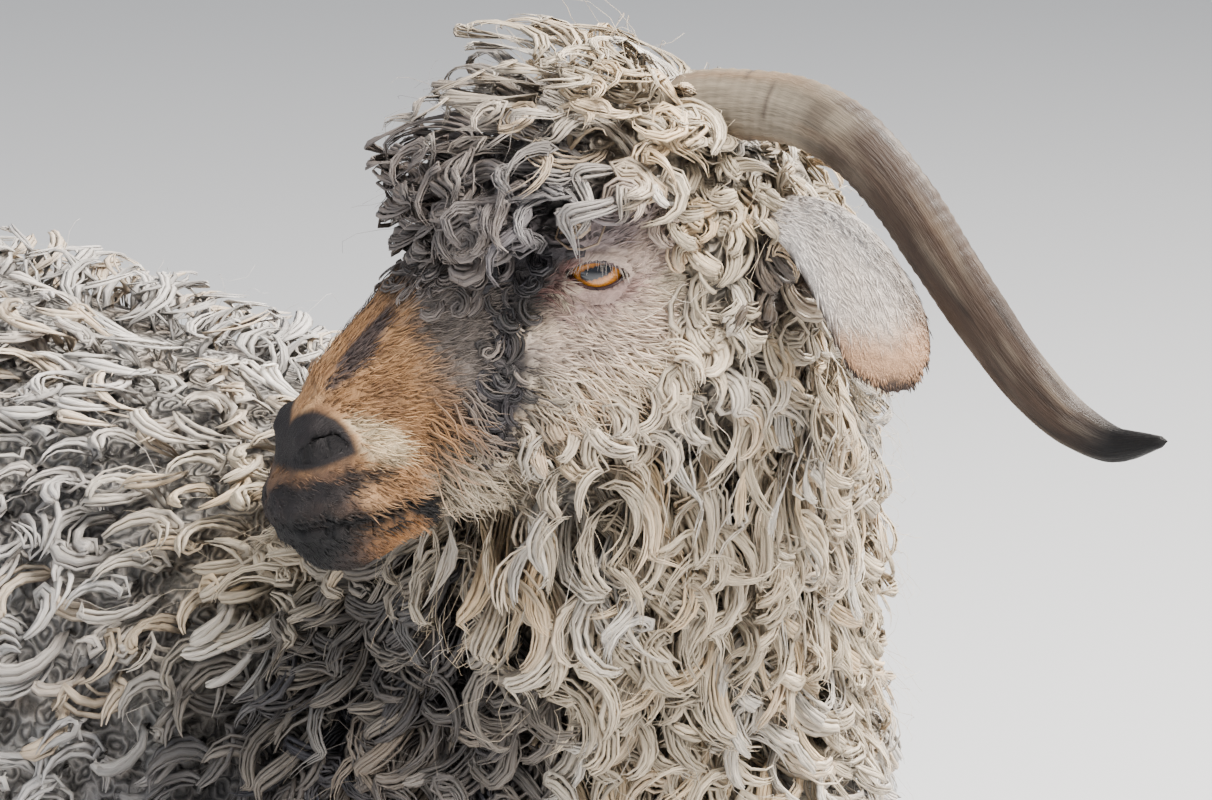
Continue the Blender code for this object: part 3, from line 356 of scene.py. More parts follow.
def growth(field, p):
    """How much the field grows over a small step to either side, along x, y and z."""
    return np.stack([field(p + e) - field(p - e) for e in np.eye(3) * SLOPE_STEP], axis=1)


def normal_at(field, p):
    return unit(growth(field, p) + 1e-12)


def solve(field, points, rounds):
    """Slides points along the field's slope until they lie on its surface."""
    for _ in range(rounds):
        value = field(points)
        slope = growth(field, points) / (2 * SLOPE_STEP)
        size = np.maximum((slope ** 2).sum(axis=1), 0.05)
        points = points - np.clip(value / size, -0.01, 0.01)[:, None] * slope
    return points


def filled(inside):
    """Adds grid points until no square of four has just two opposite ones, so the net never pinches."""
    while True:
        before = inside.sum()
        for axis in range(3):
            a = np.moveaxis(inside, axis, 0)
            p, q, r, t = a[:, :-1, :-1], a[:, 1:, :-1], a[:, :-1, 1:], a[:, 1:, 1:]
            one, other = p & t & ~q & ~r, q & r & ~p & ~t
            q |= one
            p |= other
        if inside.sum() == before:
            return inside


def net(field, low, high, cell):
    """Quads on the surface where the field is 0, one point for each cell that it crosses."""
    counts = np.ceil((np.asarray(high) - low) / cell).astype(int) + 1
    axes = [start + cell * np.arange(n) for start, n in zip(low, counts)]
    grid = np.stack(np.meshgrid(*axes, indexing="ij"), axis=-1)
    inside = filled((field(grid.reshape(-1, 3)) < 0).reshape(counts))
    index = -np.ones(counts, int)
    corners = [inside[tuple(slice(o, n - 1 + o) for o, n in zip(offset, counts))]
               for offset in np.ndindex(2, 2, 2)]
    count = np.sum(corners, axis=0)
    crossed = np.argwhere((count > 0) & (count < 8))
    index[tuple(crossed.T)] = np.arange(len(crossed))
    points = np.asarray(low) + cell * (crossed + 0.5)
    quads = []
    for axis in range(3):
        b, c = (axis + 1) % 3, (axis + 2) % 3
        ahead = np.take(inside, range(1, counts[axis]), axis)
        behind = np.take(inside, range(counts[axis] - 1), axis)
        for solid, turn in ((behind & ~ahead, 1), (ahead & ~behind, -1)):
            at = np.argwhere(solid)
            ring = [(0, 0), (-1, 0), (-1, -1), (0, -1)][::turn]
            found = []
            for step_b, step_c in ring:
                cells = at.copy()
                cells[:, b] += step_b
                cells[:, c] += step_c
                found.append(index[tuple(cells.T)])
            quads.append(np.stack(found, axis=1))
    return points, np.vstack(quads)


def evened(field, points, faces, rounds, pull):
    """Points pulled by that share towards the mean of their neighbours and back to the surface."""
    sides = faces.shape[1]
    ends = np.vstack([faces[:, [i, (i + 1) % sides]] for i in range(sides)])
    for _ in range(rounds):
        total = np.zeros_like(points)
        number = np.zeros(len(points))
        for a, b in (ends.T, ends.T[::-1]):
            np.add.at(total, a, points[b])
            np.add.at(number, a, 1)
        points = solve(field, (1 - pull) * points + pull * total / number[:, None], 1)
    return solve(field, points, 2)


# Everything is made in the field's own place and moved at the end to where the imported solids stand
EYE_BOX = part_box("eye_left")
SHIFT = (np.array(EYE_BOX[0]) + np.array(EYE_BOX[1])) / 2 - from_head(EYE_AT)
SHIFT[2] = 0

# Skin: the box and the cell of its net, the dense underwool's share of the coat, and how deep a coat makes
# the skin woolly
SKIN_LOW, SKIN_HIGH = np.array([-0.50, -0.32, -0.014]), np.array([0.46, 0.24, 0.90])
SKIN_CELL = 0.0084
UNDER = 0.20
WOOLLY = 0.008
# Where its faces are split, and split again: each a middle and a reach, in the head's frame
SPLIT_PLACES = [
    [((0.040, 0, -0.015), 0.150)],
    [((0.060, 0, -0.015), 0.112)],
    [(EYE_AT, 0.021), ((0.128, 0.022, -0.018), 0.017), ((0.142, 0.004, -0.047), 0.016),
     ((0.118, 0.024, -0.051), 0.013), ((0.100, 0.029, -0.052), 0.012)],
]

# Eye: how far the lids part above, below and to each corner, how they tilt, and how far the iris looks up
LID_UP, LID_DOWN, LID_HALF = 0.0066, 0.0058, 0.0134
EYE_TILT = math.radians(20)
EYE_RISE = 0.10
IRIS = 0.0104
PUPIL_HALF_WIDTH, PUPIL_HALF_HEIGHT = 0.0066, 0.0024
CORNEA_RISE = 0.0007
# Rings on the front of the ball and on its back, and points on a ring
EYE_FRONT, EYE_BACK, EYE_SIDES = 44, 20, 96
# Points along the lids' rim and round it; lashes on an eye and points on a lash
RIM_STEPS, RIM_SIDES = 72, 10
LASHES, LASH_STEPS = 44, 6

# Each kind of lock: how many places are tried, how far apart, strands in it, points on a strand, half width
# of a strand, how far it runs, its curl's radius and turns, how the strands' tones vary, how far the curl's
# plane tips over towards the lie, its spread, how far ahead the coat's depth is read, and the least depth
KINDS = {
    "crown": dict(tries=9000, apart=0.0076, strands=6, points=13, half=0.00086, reach=0.036, radius=0.0068,
                  vary=0.12, turns=(1.1, 1.9), tip=(0.3, 1.4), spread=0.0029, ahead=0.010, least=0.0),
    "neck": dict(tries=26000, apart=0.0094, strands=6, points=14, half=0.00096, reach=0.052, radius=0.0076,
                 vary=0.10, turns=(1.2, 2.1), tip=(0.3, 1.3), spread=0.0034, ahead=0.012, least=0.0),
    "trunk": dict(tries=34000, apart=0.0123, strands=3, points=9, half=0.0016, reach=0.027, radius=0.0070,
                  vary=0.10, turns=(0.70, 1.15), tip=(0.9, 1.45), spread=0.0028, ahead=0.012, least=0.0),
    "patch": dict(tries=9000, apart=0.0056, strands=5, points=12, half=0.00056, reach=0.019, radius=0.0058,
                  vary=0.42, turns=(0.9, 1.6), tip=(0.9, 1.4), spread=0.0018, ahead=0.001, least=0.009),
}
# Strands' widths, the share that runs loose, how deep roots sink, and the depth of coat that counts as bare
WIDTHS = (0.6, 0.85, 1.1, 1.4)
LOOSE = 0.10
ROOT_SINK = 0.0015
BARE = 0.004
# A strand's brightness at its root, darkened as painted shade deep in the coat and partly as dirt, and how
# much it gains at its tip
ROOT_SHADE = 0.30
TIP_LIGHT = 0.16
# A piece of coat has no more triangles than this
MOST_TRIANGLES = 190000
# Places tried for single hairs over the coat, and for hairs on the face
STRAY_HAIRS, FACE_HAIRS = 1100, 13000

# Coarser short hair: how many, their lengths, how their tones vary, the way they lie, half width, lift off
# the skin, points on a hair and how much it waves
HAIRS = {
    "cheek_hair": dict(count=1900, length=(0.016, 0.028), vary=0.12, way=np.array([-0.55, 0, -1.0]) @ AXES.T,
                       half=0.00055, lift=0.34, steps=6, wave=0.07),
    "shank_fur": dict(count=3000, length=(0.010, 0.017), vary=0.10, way=np.array([-0.1, 0, -1.0]),
                      half=0.0009, lift=0.14, steps=3, wave=0.0),
}

# Horns, ears and claws: rings along them and points across; a growth ring's height; hairs on an ear
HORN_RINGS, HORN_SIDES = 150, 36
HORN_RIDGE = 0.00055
EAR_RINGS, EAR_SPREAD = 44, 17
EAR_HAIRS = 2700
CLAW_HEIGHTS, CLAW_SIDES = [0, 0.02, 0.06] + list(np.linspace(0.12, 1, 16)), 44

# Baking places: a patch's size, the neck's middle, the feet, the low corner and size of the frame of trunk,
# neck, head and first leg, and the step from leg to leg
PATCH_SIZE = 0.003
NECK_MIDDLE = np.array([0.285, -0.030, 0.60])
FEET = np.array([leg_points(leg)[-1][:2] for leg in ("hind_right", "hind_left", "front_right", "front_left")])
PATCH_FRAMES = [((0.02, 0.02), (0.56, 0.56)), ((0.02, 0.62), (0.46, 0.36)), ((0.62, 0.02), (0.36, 0.56)),
                ((0.50, 0.62), (0.115, 0.36))]
LEG_STEP = 0.122

# Colours as they look on a screen
CREAM = (190, 172, 145)
PALE = (184, 181, 179)
WHITE = (214, 209, 202)
GREY = (140, 136, 136)
CHARCOAL = (42, 40, 45)
SLATE = (84, 79, 82)
SLATE_DARK = (62, 56, 58)
ASH = (112, 102, 96)
TAN = (150, 112, 76)
TAN_LIGHT = (182, 142, 102)
TAN_DARK = (110, 78, 54)
CHEEK_CREAM = (222, 203, 178)
CHEEK_TAN = (196, 156, 112)
CHIN_TAN = (160, 112, 68)
NOSE_BROWN = (74, 56, 47)
PATCH_CREAM = (216, 194, 158)
# Painted shade for the hollow under the ear's root
HOLLOW_SHADE = (58, 42, 34)
FAWN = (190, 154, 112)
GOLD = (214, 180, 132)
BLACK = (15, 13, 14)
BAND_BLACK = (28, 24, 25)
NOSE = (27, 22, 23)
PINK = (196, 170, 164)
BROW_GREY = (128, 116, 118)
LID_BROWN = (142, 112, 108)
TEAR = (110, 74, 70)
RIM = (52, 34, 36)
RIM_PINK = (120, 84, 82)
LASH = (228, 214, 200)
EAR_WHITE = (222, 214, 208)
EAR_GREY = (176, 158, 142)
EAR_TAN = (172, 128, 90)
EAR_RIM = (48, 40, 38)
EAR_INSIDE = (120, 86, 76)
HORN_PALE = (120, 110, 96)
HORN_WARM = (112, 88, 66)
HORN_BROWN = (50, 36, 28)
HORN_DARK = (16, 14, 14)
HORN_CRACK = (70, 60, 54)
HOOF = (58, 50, 44)
HOOF_PALE = (120, 104, 88)
AMBER = (214, 138, 50)
AMBER_DARK = (104, 54, 20)
IRIS_EDGE = (46, 30, 26)
PUPIL = (18, 20, 28)

# No tone is darker or lighter than these
TONE_LIMITS = 0.003, 0.9

# Marks on the left of the face, each points with half widths, in the head's axes
BAND = [(0.1520, 0.0080, -0.0355, 0.0060), (0.1446, 0.0165, -0.0360, 0.0060),
        (0.1357, 0.0232, -0.0363, 0.0056), (0.1238, 0.0268, -0.0362, 0.0044),
        (0.1128, 0.0278, -0.0352, 0.0032), (0.1031, 0.0281, -0.0322, 0.0012)]
UPPER_BLACK = [(0.1527, 0.0000, -0.0470, 0.0046), (0.1462, 0.0161, -0.0465, 0.0040),
               (0.1369, 0.0240, -0.0475, 0.0032), (0.1284, 0.0272, -0.0492, 0.0032),
               (0.1191, 0.0280, -0.0514, 0.0030), (0.1066, 0.0290, -0.0528, 0.0028),
               (0.0940, 0.0278, -0.0545, 0.0034)]
LOWER_BLACK = [(0.1500, 0.0000, -0.0560, 0.0090), (0.1445, 0.0120, -0.0560, 0.0080),
               (0.1360, 0.0210, -0.0545, 0.0058), (0.1211, 0.0262, -0.0550, 0.0038),
               (0.1040, 0.0285, -0.0560, 0.0030), (0.0960, 0.0284, -0.0600, 0.0044),
               (0.0950, 0.0250, -0.0680, 0.0050)]
LIGHT_PATCH = [(0.1129, 0.0244, -0.0157, 0.0028), (0.1087, 0.0261, -0.0208, 0.0050),
               (0.1046, 0.0272, -0.0268, 0.0050), (0.1004, 0.0281, -0.0330, 0.0034)]
STRIPE = [(0.0820, 0.0110, 0.0180, 0.0030), (0.0873, 0.0131, 0.0161, 0.0038),
          (0.0971, 0.0130, 0.0114, 0.0050), (0.1057, 0.0133, 0.0064, 0.0044),
          (0.1132, 0.0133, 0.0020, 0.0024)]
DARK_CURLS = [(0.0300, 0.0330, 0.0240, 0.0090), (0.0418, 0.0368, -0.0009, 0.0078),
              (0.0464, 0.0366, -0.0124, 0.0080), (0.0541, 0.0348, -0.0228, 0.0088),
              (0.0599, 0.0330, -0.0342, 0.0085), (0.0681, 0.0306, -0.0401, 0.0060)]
BEFORE_EYE = [(0.0130, 0.0460, 0.0240, 0.0070), (0.0300, 0.0370, 0.0190, 0.0120),
              (0.0300, 0.0386, 0.0110, 0.0080)]
TEAR_LINE = [(0.0100, 0.0515, 0.0172, 0.0020), (0.0151, 0.0486, 0.0160, 0.0024),
             (0.0220, 0.0441, 0.0115, 0.0022), (0.0294, 0.0397, 0.0058, 0.0014)]
# Soft ovals of colour round the eye: colour, share, middle and reach
EYE_SPOTS = [(PINK, 0.60, (-0.008, 0.045, 0.018), (0.026, 0.05, 0.020)),
             (BROW_GREY, 0.75, (-0.001, 0.045, 0.030), (0.024, 0.05, 0.011)),
             (LID_BROWN, 0.75, (0.010, 0.050, 0.001), (0.022, 0.05, 0.0055)),
             (PINK, 0.40, (0.012, 0.045, -0.012), (0.030, 0.05, 0.012))]
# The cream and tan of the cheek, and the painted shade in the hollow under the ear: middle and reach
CREAM_SPOT = (0.010, 0.045, -0.030), (0.050, 0.05, 0.034)
TAN_SPOT = (0.030, 0.035, -0.040), (0.050, 0.05, 0.014)
EAR_HOLLOW = (-0.0650, 0.0560, -0.0190), (0.015, 0.03, 0.017)
# Height and forward place of the throat's edge below the jaw
THROAT_EDGE = np.array([[-0.250, 0.084], [-0.200, 0.078], [-0.150, 0.066], [-0.128, 0.078], [-0.105, 0.082],
                        [-0.080, 0.080]])
# The throat's middle line, and the way its dark front looks
THROAT_LINE = np.array(THROAT)
THROAT_WAY = unit([-0.22, -0.975])

# Finishes: roughness, stretch of the grain, its depth, contrast and scale, specular level and clear coat
FINISHES = {
    "wool": (0.42, (1, 0.06, 1), 0.0016, 0.42, 2600, 0.5, 0.0),
    "short_hair": (0.50, (1, 0.2, 1), 0.0003, 0.14, 1500, 0.30, 0.0),
    "hide": (0.60, (1, 1, 1), 0.0022, 0.42, 1100, 0.30, 0.0),
    "horn_sheath": (0.52, (1, 1, 0.12), 0.0010, 0.30, 700, 0.22, 0.0),
    "hoof_horn": (0.45, (1, 1, 1), 0.0005, 0.20, 500, 0.5, 0.0),
    "wet_eye": (0.14, (1, 1, 1), 0.00001, 0.05, 600, 0.6, 1.0),
    "lid_rim": (0.30, (1, 1, 1), 0.0002, 0.20, 900, 0.6, 0.2),
}

# Photograph: its width in pixels, a pixel's size at the head, and how far it is shifted, in pixels; then
# the camera's distance, turn and tilt, and the point of the head that it turns to
PHOTO_WIDTH, PIXEL = 1212, 0.0004
SHIFT_ACROSS, SHIFT_UP = -1, -128
CAMERA_AWAY, CAMERA_TURN, CAMERA_TILT = 3.2, math.radians(-50), math.radians(12)
CAMERA_AIM = [0, 0.052, 0.010]
# Lamps: place by the camera's right, its front and upwards, size, power and colour
LAMP_AIM = np.array([0.20, -0.05, 0.55])
LAMP_RIGHT, LAMP_FRONT, LAMP_SCALE = Vector((0.766, 0.643, 0)), Vector((0.629, -0.749, 0.208)), 1.25
LAMPS = [("key", (0.9, 1.0, 1.6), 1.5, 235, (1.0, 0.96, 0.90)),
         ("rim", (1.7, -1.2, 2.0), 1.2, 400, (1.0, 0.95, 0.88)),
         ("fill", (-2.2, 1.4, 0.9), 2.6, 60, (0.86, 0.92, 1.0))]
FLOOR_HALF = 30
FLOOR_COLOUR = (0.62, 0.63, 0.65, 1)
SKY_COLOUR, SKY_POWER = (0.80, 0.86, 0.95, 1), 0.42


def linear(colour):
    """The light that a screen colour stands for."""
    c = np.asarray(colour, float) / 255
    return np.where(c <= 0.04045, c / 12.92, ((c + 0.055) / 1.055) ** 2.4)


def mixed(base, colour, share):
    return base + (linear(colour) - base) * np.asarray(share)[..., None]


def ripple(p, size, seed):
    """Smooth noise between -1 and 1, from a few crossed waves."""
    rng = np.random.default_rng(seed)
    total = 0
    for _ in range(5):
        way = unit(rng.normal(size=3))
        other = unit(rng.normal(size=3))
        bend = 2.0 * np.sin(p @ other * 4.1 / size)
        total = total + np.sin(p @ way * 6.3 / size + bend + rng.uniform(0, 6.3))
    return total / 3.2


def patches(p, size, seed, low=0.0, high=1.0):
    """1 in smooth patches of about that size, 0 between them."""
    return smoothstep(low, high, ripple(p, size, seed))


def spot(q, centre, reach):
    """1 at the middle of an oval place on either side of the head, fading to 0 at its rim."""
    return smoothstep(1.25, 0.75, np.linalg.norm((on_left(q) - centre) / reach, axis=1))


def stroke(q, rows, fade=0.0016):
    """1 within a tapered stroke through the rows, on either side of the head, fading at its rim."""
    return smoothstep(fade, -fade, chain(on_left(q), rows, 0.001))


def nose_pad(q):
    """1 on the bare pad between and over the nostrils."""
    edge = 0.1310 - 0.62 * np.abs(q[:, 1])
    return smoothstep(-0.0020, 0.0030, q[:, 0] - edge) * smoothstep(-0.0278, -0.0245, q[:, 2])


def fleece_colour(p, near_head):
    """Pale wool in patches of cream, fawn, white and grey, greyer on the legs."""
    tone = linear(PALE) + 0 * p
    tone = mixed(tone, CREAM, 0.20 + 0.70 * near_head)
    tone = tone * (1 + 0.06 * ripple(p, 0.07, 5) + 0.06 * ripple(p, 0.025, 6))[:, None]
    tone = mixed(tone, FAWN, 0.30 * patches(p, 0.045, 7, 0.2))
    tone = mixed(tone, WHITE, 0.60 * patches(p, 0.060, 9, 0.2, 0.9))
    tone = mixed(tone, GREY, 0.45 * patches(p, 0.11, 8, 0.25) * (1 - 0.5 * near_head))
    return mixed(tone, GREY, 0.30 * smoothstep(0.30, 0.05, p[:, 2]))


def throat_shares(p, q, on_head):
    """Where the charcoal lies under the jaw, and down the front of the neck."""
    y, z = np.abs(q[:, 1]), q[:, 2]
    on_neck = smoothstep(0.100, 0.075, neck_field(p))
    ahead_of = smoothstep(0, 0.012, q[:, 0] - np.interp(z, THROAT_EDGE[:, 0], THROAT_EDGE[:, 1]))
    jaw = smoothstep(0.120, 0.095, y) * smoothstep(-0.066, -0.076, z) * ahead_of
    jaw = jaw * smoothstep(0.22, 0.19, np.linalg.norm(q, axis=1)) * np.maximum(on_head, on_neck)
    middle = [np.interp(p[:, 2], THROAT_LINE[:, 2], THROAT_LINE[:, axis]) for axis in (0, 1)]
    middle = np.stack(middle, axis=1)
    front = smoothstep(0.76, 0.88, unit(p[:, :2] - middle) @ THROAT_WAY)
    front = front * smoothstep(0.40, 0.47, p[:, 2]) * smoothstep(0.72, 0.67, p[:, 2]) * on_neck
    front = front * smoothstep(-0.070, -0.085, z)
    return jaw, front * np.maximum(smoothstep(-0.125, -0.150, z), ahead_of)


def muzzle_colour(q, p):
    """The tan of the muzzle, in lighter and darker patches."""
    tan = mixed(linear(TAN) + 0 * q, TAN_LIGHT, 0.8 * patches(p, 0.020, 12))
    return mixed(tan, TAN_DARK, 0.6 * patches(p, 0.013, 13, 0.1))


def marking(p):
    """Colour of skin and coat at each place."""
    still = to_head(p)
    q = still
    for reach, size, seed in ((0.0016, 0.008, 1), (0.0024, 0.026, 3)):
        waves = [ripple(still, size, seed), 0 * p[:, 0], ripple(still, size, seed + 1)]
        q = q + reach * np.stack(waves, axis=1)
    x, z = q[:, 0], q[:, 2]
    on_head = smoothstep(0.062, 0.046, head_field(p))
    jaw, front = throat_shares(p, q, on_head)
    coat = fleece_colour(p, smoothstep(0.34, 0.24, np.linalg.norm(q, axis=1)))
    coat = mixed(coat, CHARCOAL, 0.96 * (np.maximum(jaw, front) * (0.86 + 0.14 * ripple(p, 0.03, 10))))

    # Grey forelock and temple
    temple = 0.80 * smoothstep(0.10, 0.06, z) * smoothstep(-0.035, 0.0, x) * smoothstep(0.02, 0.04, z)
    tone = mixed(coat, GREY, temple)
    forelock = smoothstep(-0.015, 0.022, x + 0.3 * (z - 0.05))
    forelock = forelock * smoothstep(0.100, 0.052, z) * smoothstep(0.010, 0.026, z)
    tone = mixed(tone, SLATE, 0.85 * forelock)

    # Cheek and the skin round the eye
    tone = mixed(tone, CHEEK_CREAM, 0.75 * spot(q, *CREAM_SPOT))
    tone = mixed(tone, CHEEK_TAN, 0.45 * spot(q, *TAN_SPOT) * patches(p, 0.012, 11, -0.2, 0.8))
    for colour, share, centre, reach in EYE_SPOTS:
        tone = mixed(tone, colour, share * spot(q, centre, reach))

    # Forehead and bridge, grey into the tan muzzle
    tone = mixed(tone, ASH, 0.95 * smoothstep(0.032, 0.050, x + 0.2 * z) * smoothstep(-0.046, -0.030, z))
    tan_from = 0.071 + 0.018 * smoothstep(-0.025, -0.050, z)
    muzzle = smoothstep(-0.004, 0.014, x - tan_from) * smoothstep(-0.080, -0.066, z)
    tone = tone + (muzzle_colour(q, p) - tone) * muzzle[:, None]
    curls = np.maximum(stroke(q, DARK_CURLS, 0.003), stroke(q, BEFORE_EYE, 0.004))
    tone = mixed(tone, CHARCOAL, 0.92 * curls)
    tone = mixed(tone, TEAR, 0.80 * stroke(q, TEAR_LINE))
    tone = mixed(tone, SLATE_DARK, 0.92 * stroke(q, STRIPE))
    tone = mixed(tone, PATCH_CREAM, 0.90 * stroke(q, LIGHT_PATCH, 0.003))

    # Black lips, the band over the upper one, the chin and the nose
    chin = smoothstep(0.096, 0.104, x) * smoothstep(-0.056, -0.062, z) * smoothstep(-0.084, -0.078, z)
    tone = mixed(tone, CHIN_TAN, 0.85 * chin)
    tone = mixed(tone, NOSE_BROWN, 0.80 * smoothstep(0.114, 0.128, x) * smoothstep(-0.022, -0.029, z))
    tone = mixed(tone, BAND_BLACK, 0.92 * stroke(q, BAND, 0.0026))
    tone = mixed(tone, BAND_BLACK, 0.90 * smoothstep(0.120, 0.133, x) * smoothstep(-0.0300, -0.0340, z))
    tone = mixed(tone, BLACK, stroke(q, UPPER_BLACK))
    tone = mixed(tone, BLACK, stroke(q, LOWER_BLACK, 0.0024))
    tone = mixed(tone, BLACK, smoothstep(0.132, 0.140, x) * smoothstep(-0.050, -0.056, z))
    tone = mixed(tone, NOSE, nose_pad(still))
    tone = mixed(tone, BLACK, 0.9 * stroke(still, NOSTRIL_LINE, 0.0026))
    tone = coat + (tone - coat) * (on_head * (1 - jaw * smoothstep(-0.074, -0.082, z)))[:, None]
    # Painted shade in the hollow under the ear's root
    tone = mixed(tone, HOLLOW_SHADE, 0.85 * spot(q, *EAR_HOLLOW))
    return np.clip(tone, *TONE_LIMITS)


def carve(field, tools, soft):
    """The field with soft hollows where the tools' distances are below 0."""
    for tool in tools:
        field = -blend([-field, tool], soft)
    return field


def eye_at(side):
    """The middle of the eye, side 1 for the left one and -1 for the right one."""
    return EYE_AT * (1, side, 1)


def eye_ways(side):
    """The way the eye looks, the way from its back corner to its front one, and up between them."""
    look = unit(EYE_LOOK * (1, side, 1))
    ahead = unit(np.array([1, 0, 0]) - look[0] * look)
    rise = np.cross(look, ahead) * side
    rise = rise * (1 if rise[2] > 0 else -1)
    c, s = math.cos(EYE_TILT), math.sin(EYE_TILT)
    return look, c * ahead + s * rise, -s * ahead + c * rise


def on_face(rows, sink):
    """The rows' points slid onto the head's surface and then pushed in by sink, with their radii."""
    rows = np.array(rows, float)
    placed = solve(head_field, from_head(rows[:, :3]), 8)
    placed = to_head(placed - sink * normal_at(head_field, placed))
    return [tuple(place) + (radius,) for place, radius in zip(placed, rows[:, 3])]


# Nostril slit, the wing over it and the mouth line, laid on the head's surface
NOSTRIL_LINE = on_face([(0.1384, 0.0156, -0.0212, 0.0016), (0.1350, 0.0208, -0.0196, 0.0028),
                        (0.1294, 0.0243, -0.0184, 0.0036), (0.1236, 0.0254, -0.0184, 0.0032),
                        (0.1192, 0.0259, -0.0206, 0.0014)], 0.0010)
NOSE_WING = on_face([(0.1352, 0.0170, -0.0135, 0.0026), (0.1290, 0.0215, -0.0120, 0.0034),
                     (0.1215, 0.0240, -0.0130, 0.0030), (0.1160, 0.0255, -0.0185, 0.0022)], 0.0018)
MOUTH_LINE = on_face([(0.1545, 0.0000, -0.0488, 0.0014), (0.1462, 0.0161, -0.0478, 0.0016),
                      (0.1369, 0.0240, -0.0486, 0.0016), (0.1284, 0.0272, -0.0500, 0.0016),
                      (0.1191, 0.0275, -0.0518, 0.0015), (0.1066, 0.0290, -0.0530, 0.0014),
                      (0.0940, 0.0272, -0.0546, 0.0010)], 0.0006)
UPPER_LIP = [(x, y, z + 0.0044, 0.0026) for x, y, z, _ in MOUTH_LINE[:-1]]
LOWER_LIP = [(x - 0.001, y - 0.0005, z - 0.0044, 0.0026) for x, y, z, _ in MOUTH_LINE[:-1]]


def body_under(p):
    """The body with its dense underwool."""
    return body_field(p) - UNDER * coat_depth(p)


def skin_field(p):
    """The bare face and feet, and the dense underwool elsewhere, with nostrils, mouth and lids parted."""
    q = on_left(to_head(p))
    look, ahead, rise = eye_ways(1)
    near_eye = q - EYE_AT
    a, b, depth = near_eye @ ahead, near_eye @ rise, near_eye @ look
    field = body_under(p)
    # Folds: under the lower lid, over the upper one, and down from the tear corner
    fold = np.abs(np.hypot(a / 1.35, b + 0.001) - 0.0120)
    field = field + 0.0008 * smoothstep(0.0016, 0, fold) * smoothstep(0.004, 0.010, depth)
    corner = EYE_AT + 0.0118 * ahead + 0.0128 * look
    tear = cone(q, corner, EYE_AT + 0.034 * ahead - 0.007 * rise + 0.008 * look, 0.0018, 0.0011)
    brow = egg(q, (-0.004, 0.042, 0.028), (0.019, 0.0075, 0.0045))
    field = blend([field, brow], 0.004)
    slit = chain(q, NOSTRIL_LINE, 0.001)
    mouth = chain(q, MOUTH_LINE, 0.0006)
    lips = [chain(q, line, 0.001) for line in (UPPER_LIP, LOWER_LIP, NOSE_WING)]
    field = blend([field, *lips], 0.0016)
    philtrum = cone(q, (0.158, 0, -0.030), (0.155, 0, -0.046), 0.0012, 0.0012)
    return carve(field, [tear, slit, mouth, philtrum], 0.00035)


def divided(points, quads):
    """The net with its faces split in two at the head, again at the face, and at eyes, nostrils and mouth."""
    form = bmesh.new()
    verts = [form.verts.new(p) for p in points]
    for quad in quads:
        form.faces.new([verts[i] for i in quad])
    for spots in SPLIT_PLACES:
        form.verts.index_update()
        q = on_left(to_head(np.array([v.co[:] for v in form.verts])))
        near = np.zeros(len(q), bool)
        for centre, reach in spots:
            near |= np.linalg.norm(q - centre, axis=1) < reach
        edges = [e for e in form.edges if near[e.verts[0].index] and near[e.verts[1].index]]
        bmesh.ops.subdivide_edges(form, edges=edges, cuts=1, use_grid_fill=True)
        moved = np.array([v.co[:] for v in form.verts])
        moved = solve(skin_field if spots is SPLIT_PLACES[-1] else body_under, moved, 2)
        for vert, p in zip(form.verts, moved):
            vert.co = p
    bmesh.ops.triangulate(form, faces=form.faces)
    form.verts.index_update()
    points = np.array([v.co[:] for v in form.verts])
    faces = np.array([[v.index for v in f.verts] for f in form.faces])
    form.free()
    return points, faces


def eye_opened(points, faces):
    """The skin without the faces over the eyeballs, its points round each opening on the lids' edge."""
    for side in (1, -1):
        look, ahead, rise = eye_ways(side)
        away = to_head(points) - eye_at(side)
        a, b, depth = away @ ahead, away @ rise, away @ look
        half = np.where(b > 0, LID_UP, LID_DOWN)
        reach = (a / LID_HALF) ** 2 + np.abs(b) / half
        inside = (reach < 1) & (depth > 0.004) & (np.linalg.norm(away, axis=1) < 0.03)
        faces = faces[~inside[faces].all(axis=1)]
        rim = np.zeros(len(points), bool)
        rim[np.unique(faces)] = True
        rim &= inside
        # Slide each of them outwards from the middle until it is on the edge
        scale = np.ones(len(points))
        for _ in range(12):
            now = (scale * a / LID_HALF) ** 2 + np.abs(scale * b) / half
            scale = np.where(rim, scale * (1 + 0.6 * (1 - now)), 1)
        a, b = a * scale, b * scale
        depth = np.sqrt(np.maximum((EYE_R + 0.0012) ** 2 - a ** 2 - b ** 2, 0))
        placed = eye_at(side) + a[:, None] * ahead + b[:, None] * rise + depth[:, None] * look
        points = np.where(rim[:, None], from_head(placed), points)
    return points, faces


def make_piece(name, points, faces, finish, tint, flow, patch=None):
    """An object from arrays: faces is a list of index arrays; tint and flow are values at each point."""
    mesh = bpy.data.meshes.new(name)
    corners = np.concatenate([f.ravel() for f in faces])
    sizes = np.concatenate([np.full(len(f), f.shape[1]) for f in faces])
    mesh.vertices.add(len(points))
    mesh.vertices.foreach_set("co", (points + SHIFT).astype(np.float32).ravel())
    mesh.loops.add(len(corners))
    mesh.loops.foreach_set("vertex_index", corners.astype(np.int32))
    mesh.polygons.add(len(sizes))
    mesh.polygons.foreach_set("loop_start", (np.cumsum(sizes) - sizes).astype(np.int32))
    mesh.update(calc_edges=True)
    mesh.shade_smooth()
    layer = mesh.attributes.new("tint", "FLOAT_COLOR", "POINT")
    tint = np.column_stack([tint, np.ones(len(tint))])
    layer.data.foreach_set("color", tint.astype(np.float32).ravel())
    layer = mesh.attributes.new("flow", "FLOAT_VECTOR", "POINT")
    layer.data.foreach_set("vector", np.asarray(flow, np.float32).ravel())
    if patch is not None:
        layer = mesh.uv_layers.new(name="OFBake")
        layer.data.foreach_set("uv", patch[corners].astype(np.float32).ravel())
    mesh.materials.append(finish)
    made = bpy.data.objects.new(name, mesh)
    bpy.context.scene.collection.objects.link(made)
    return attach(made, "root")


def flat_on(way, normal):
    """The way turned to lie in the surface with that normal."""
    return unit(way - (way * normal).sum(axis=-1, keepdims=True) * normal + 1e-9)


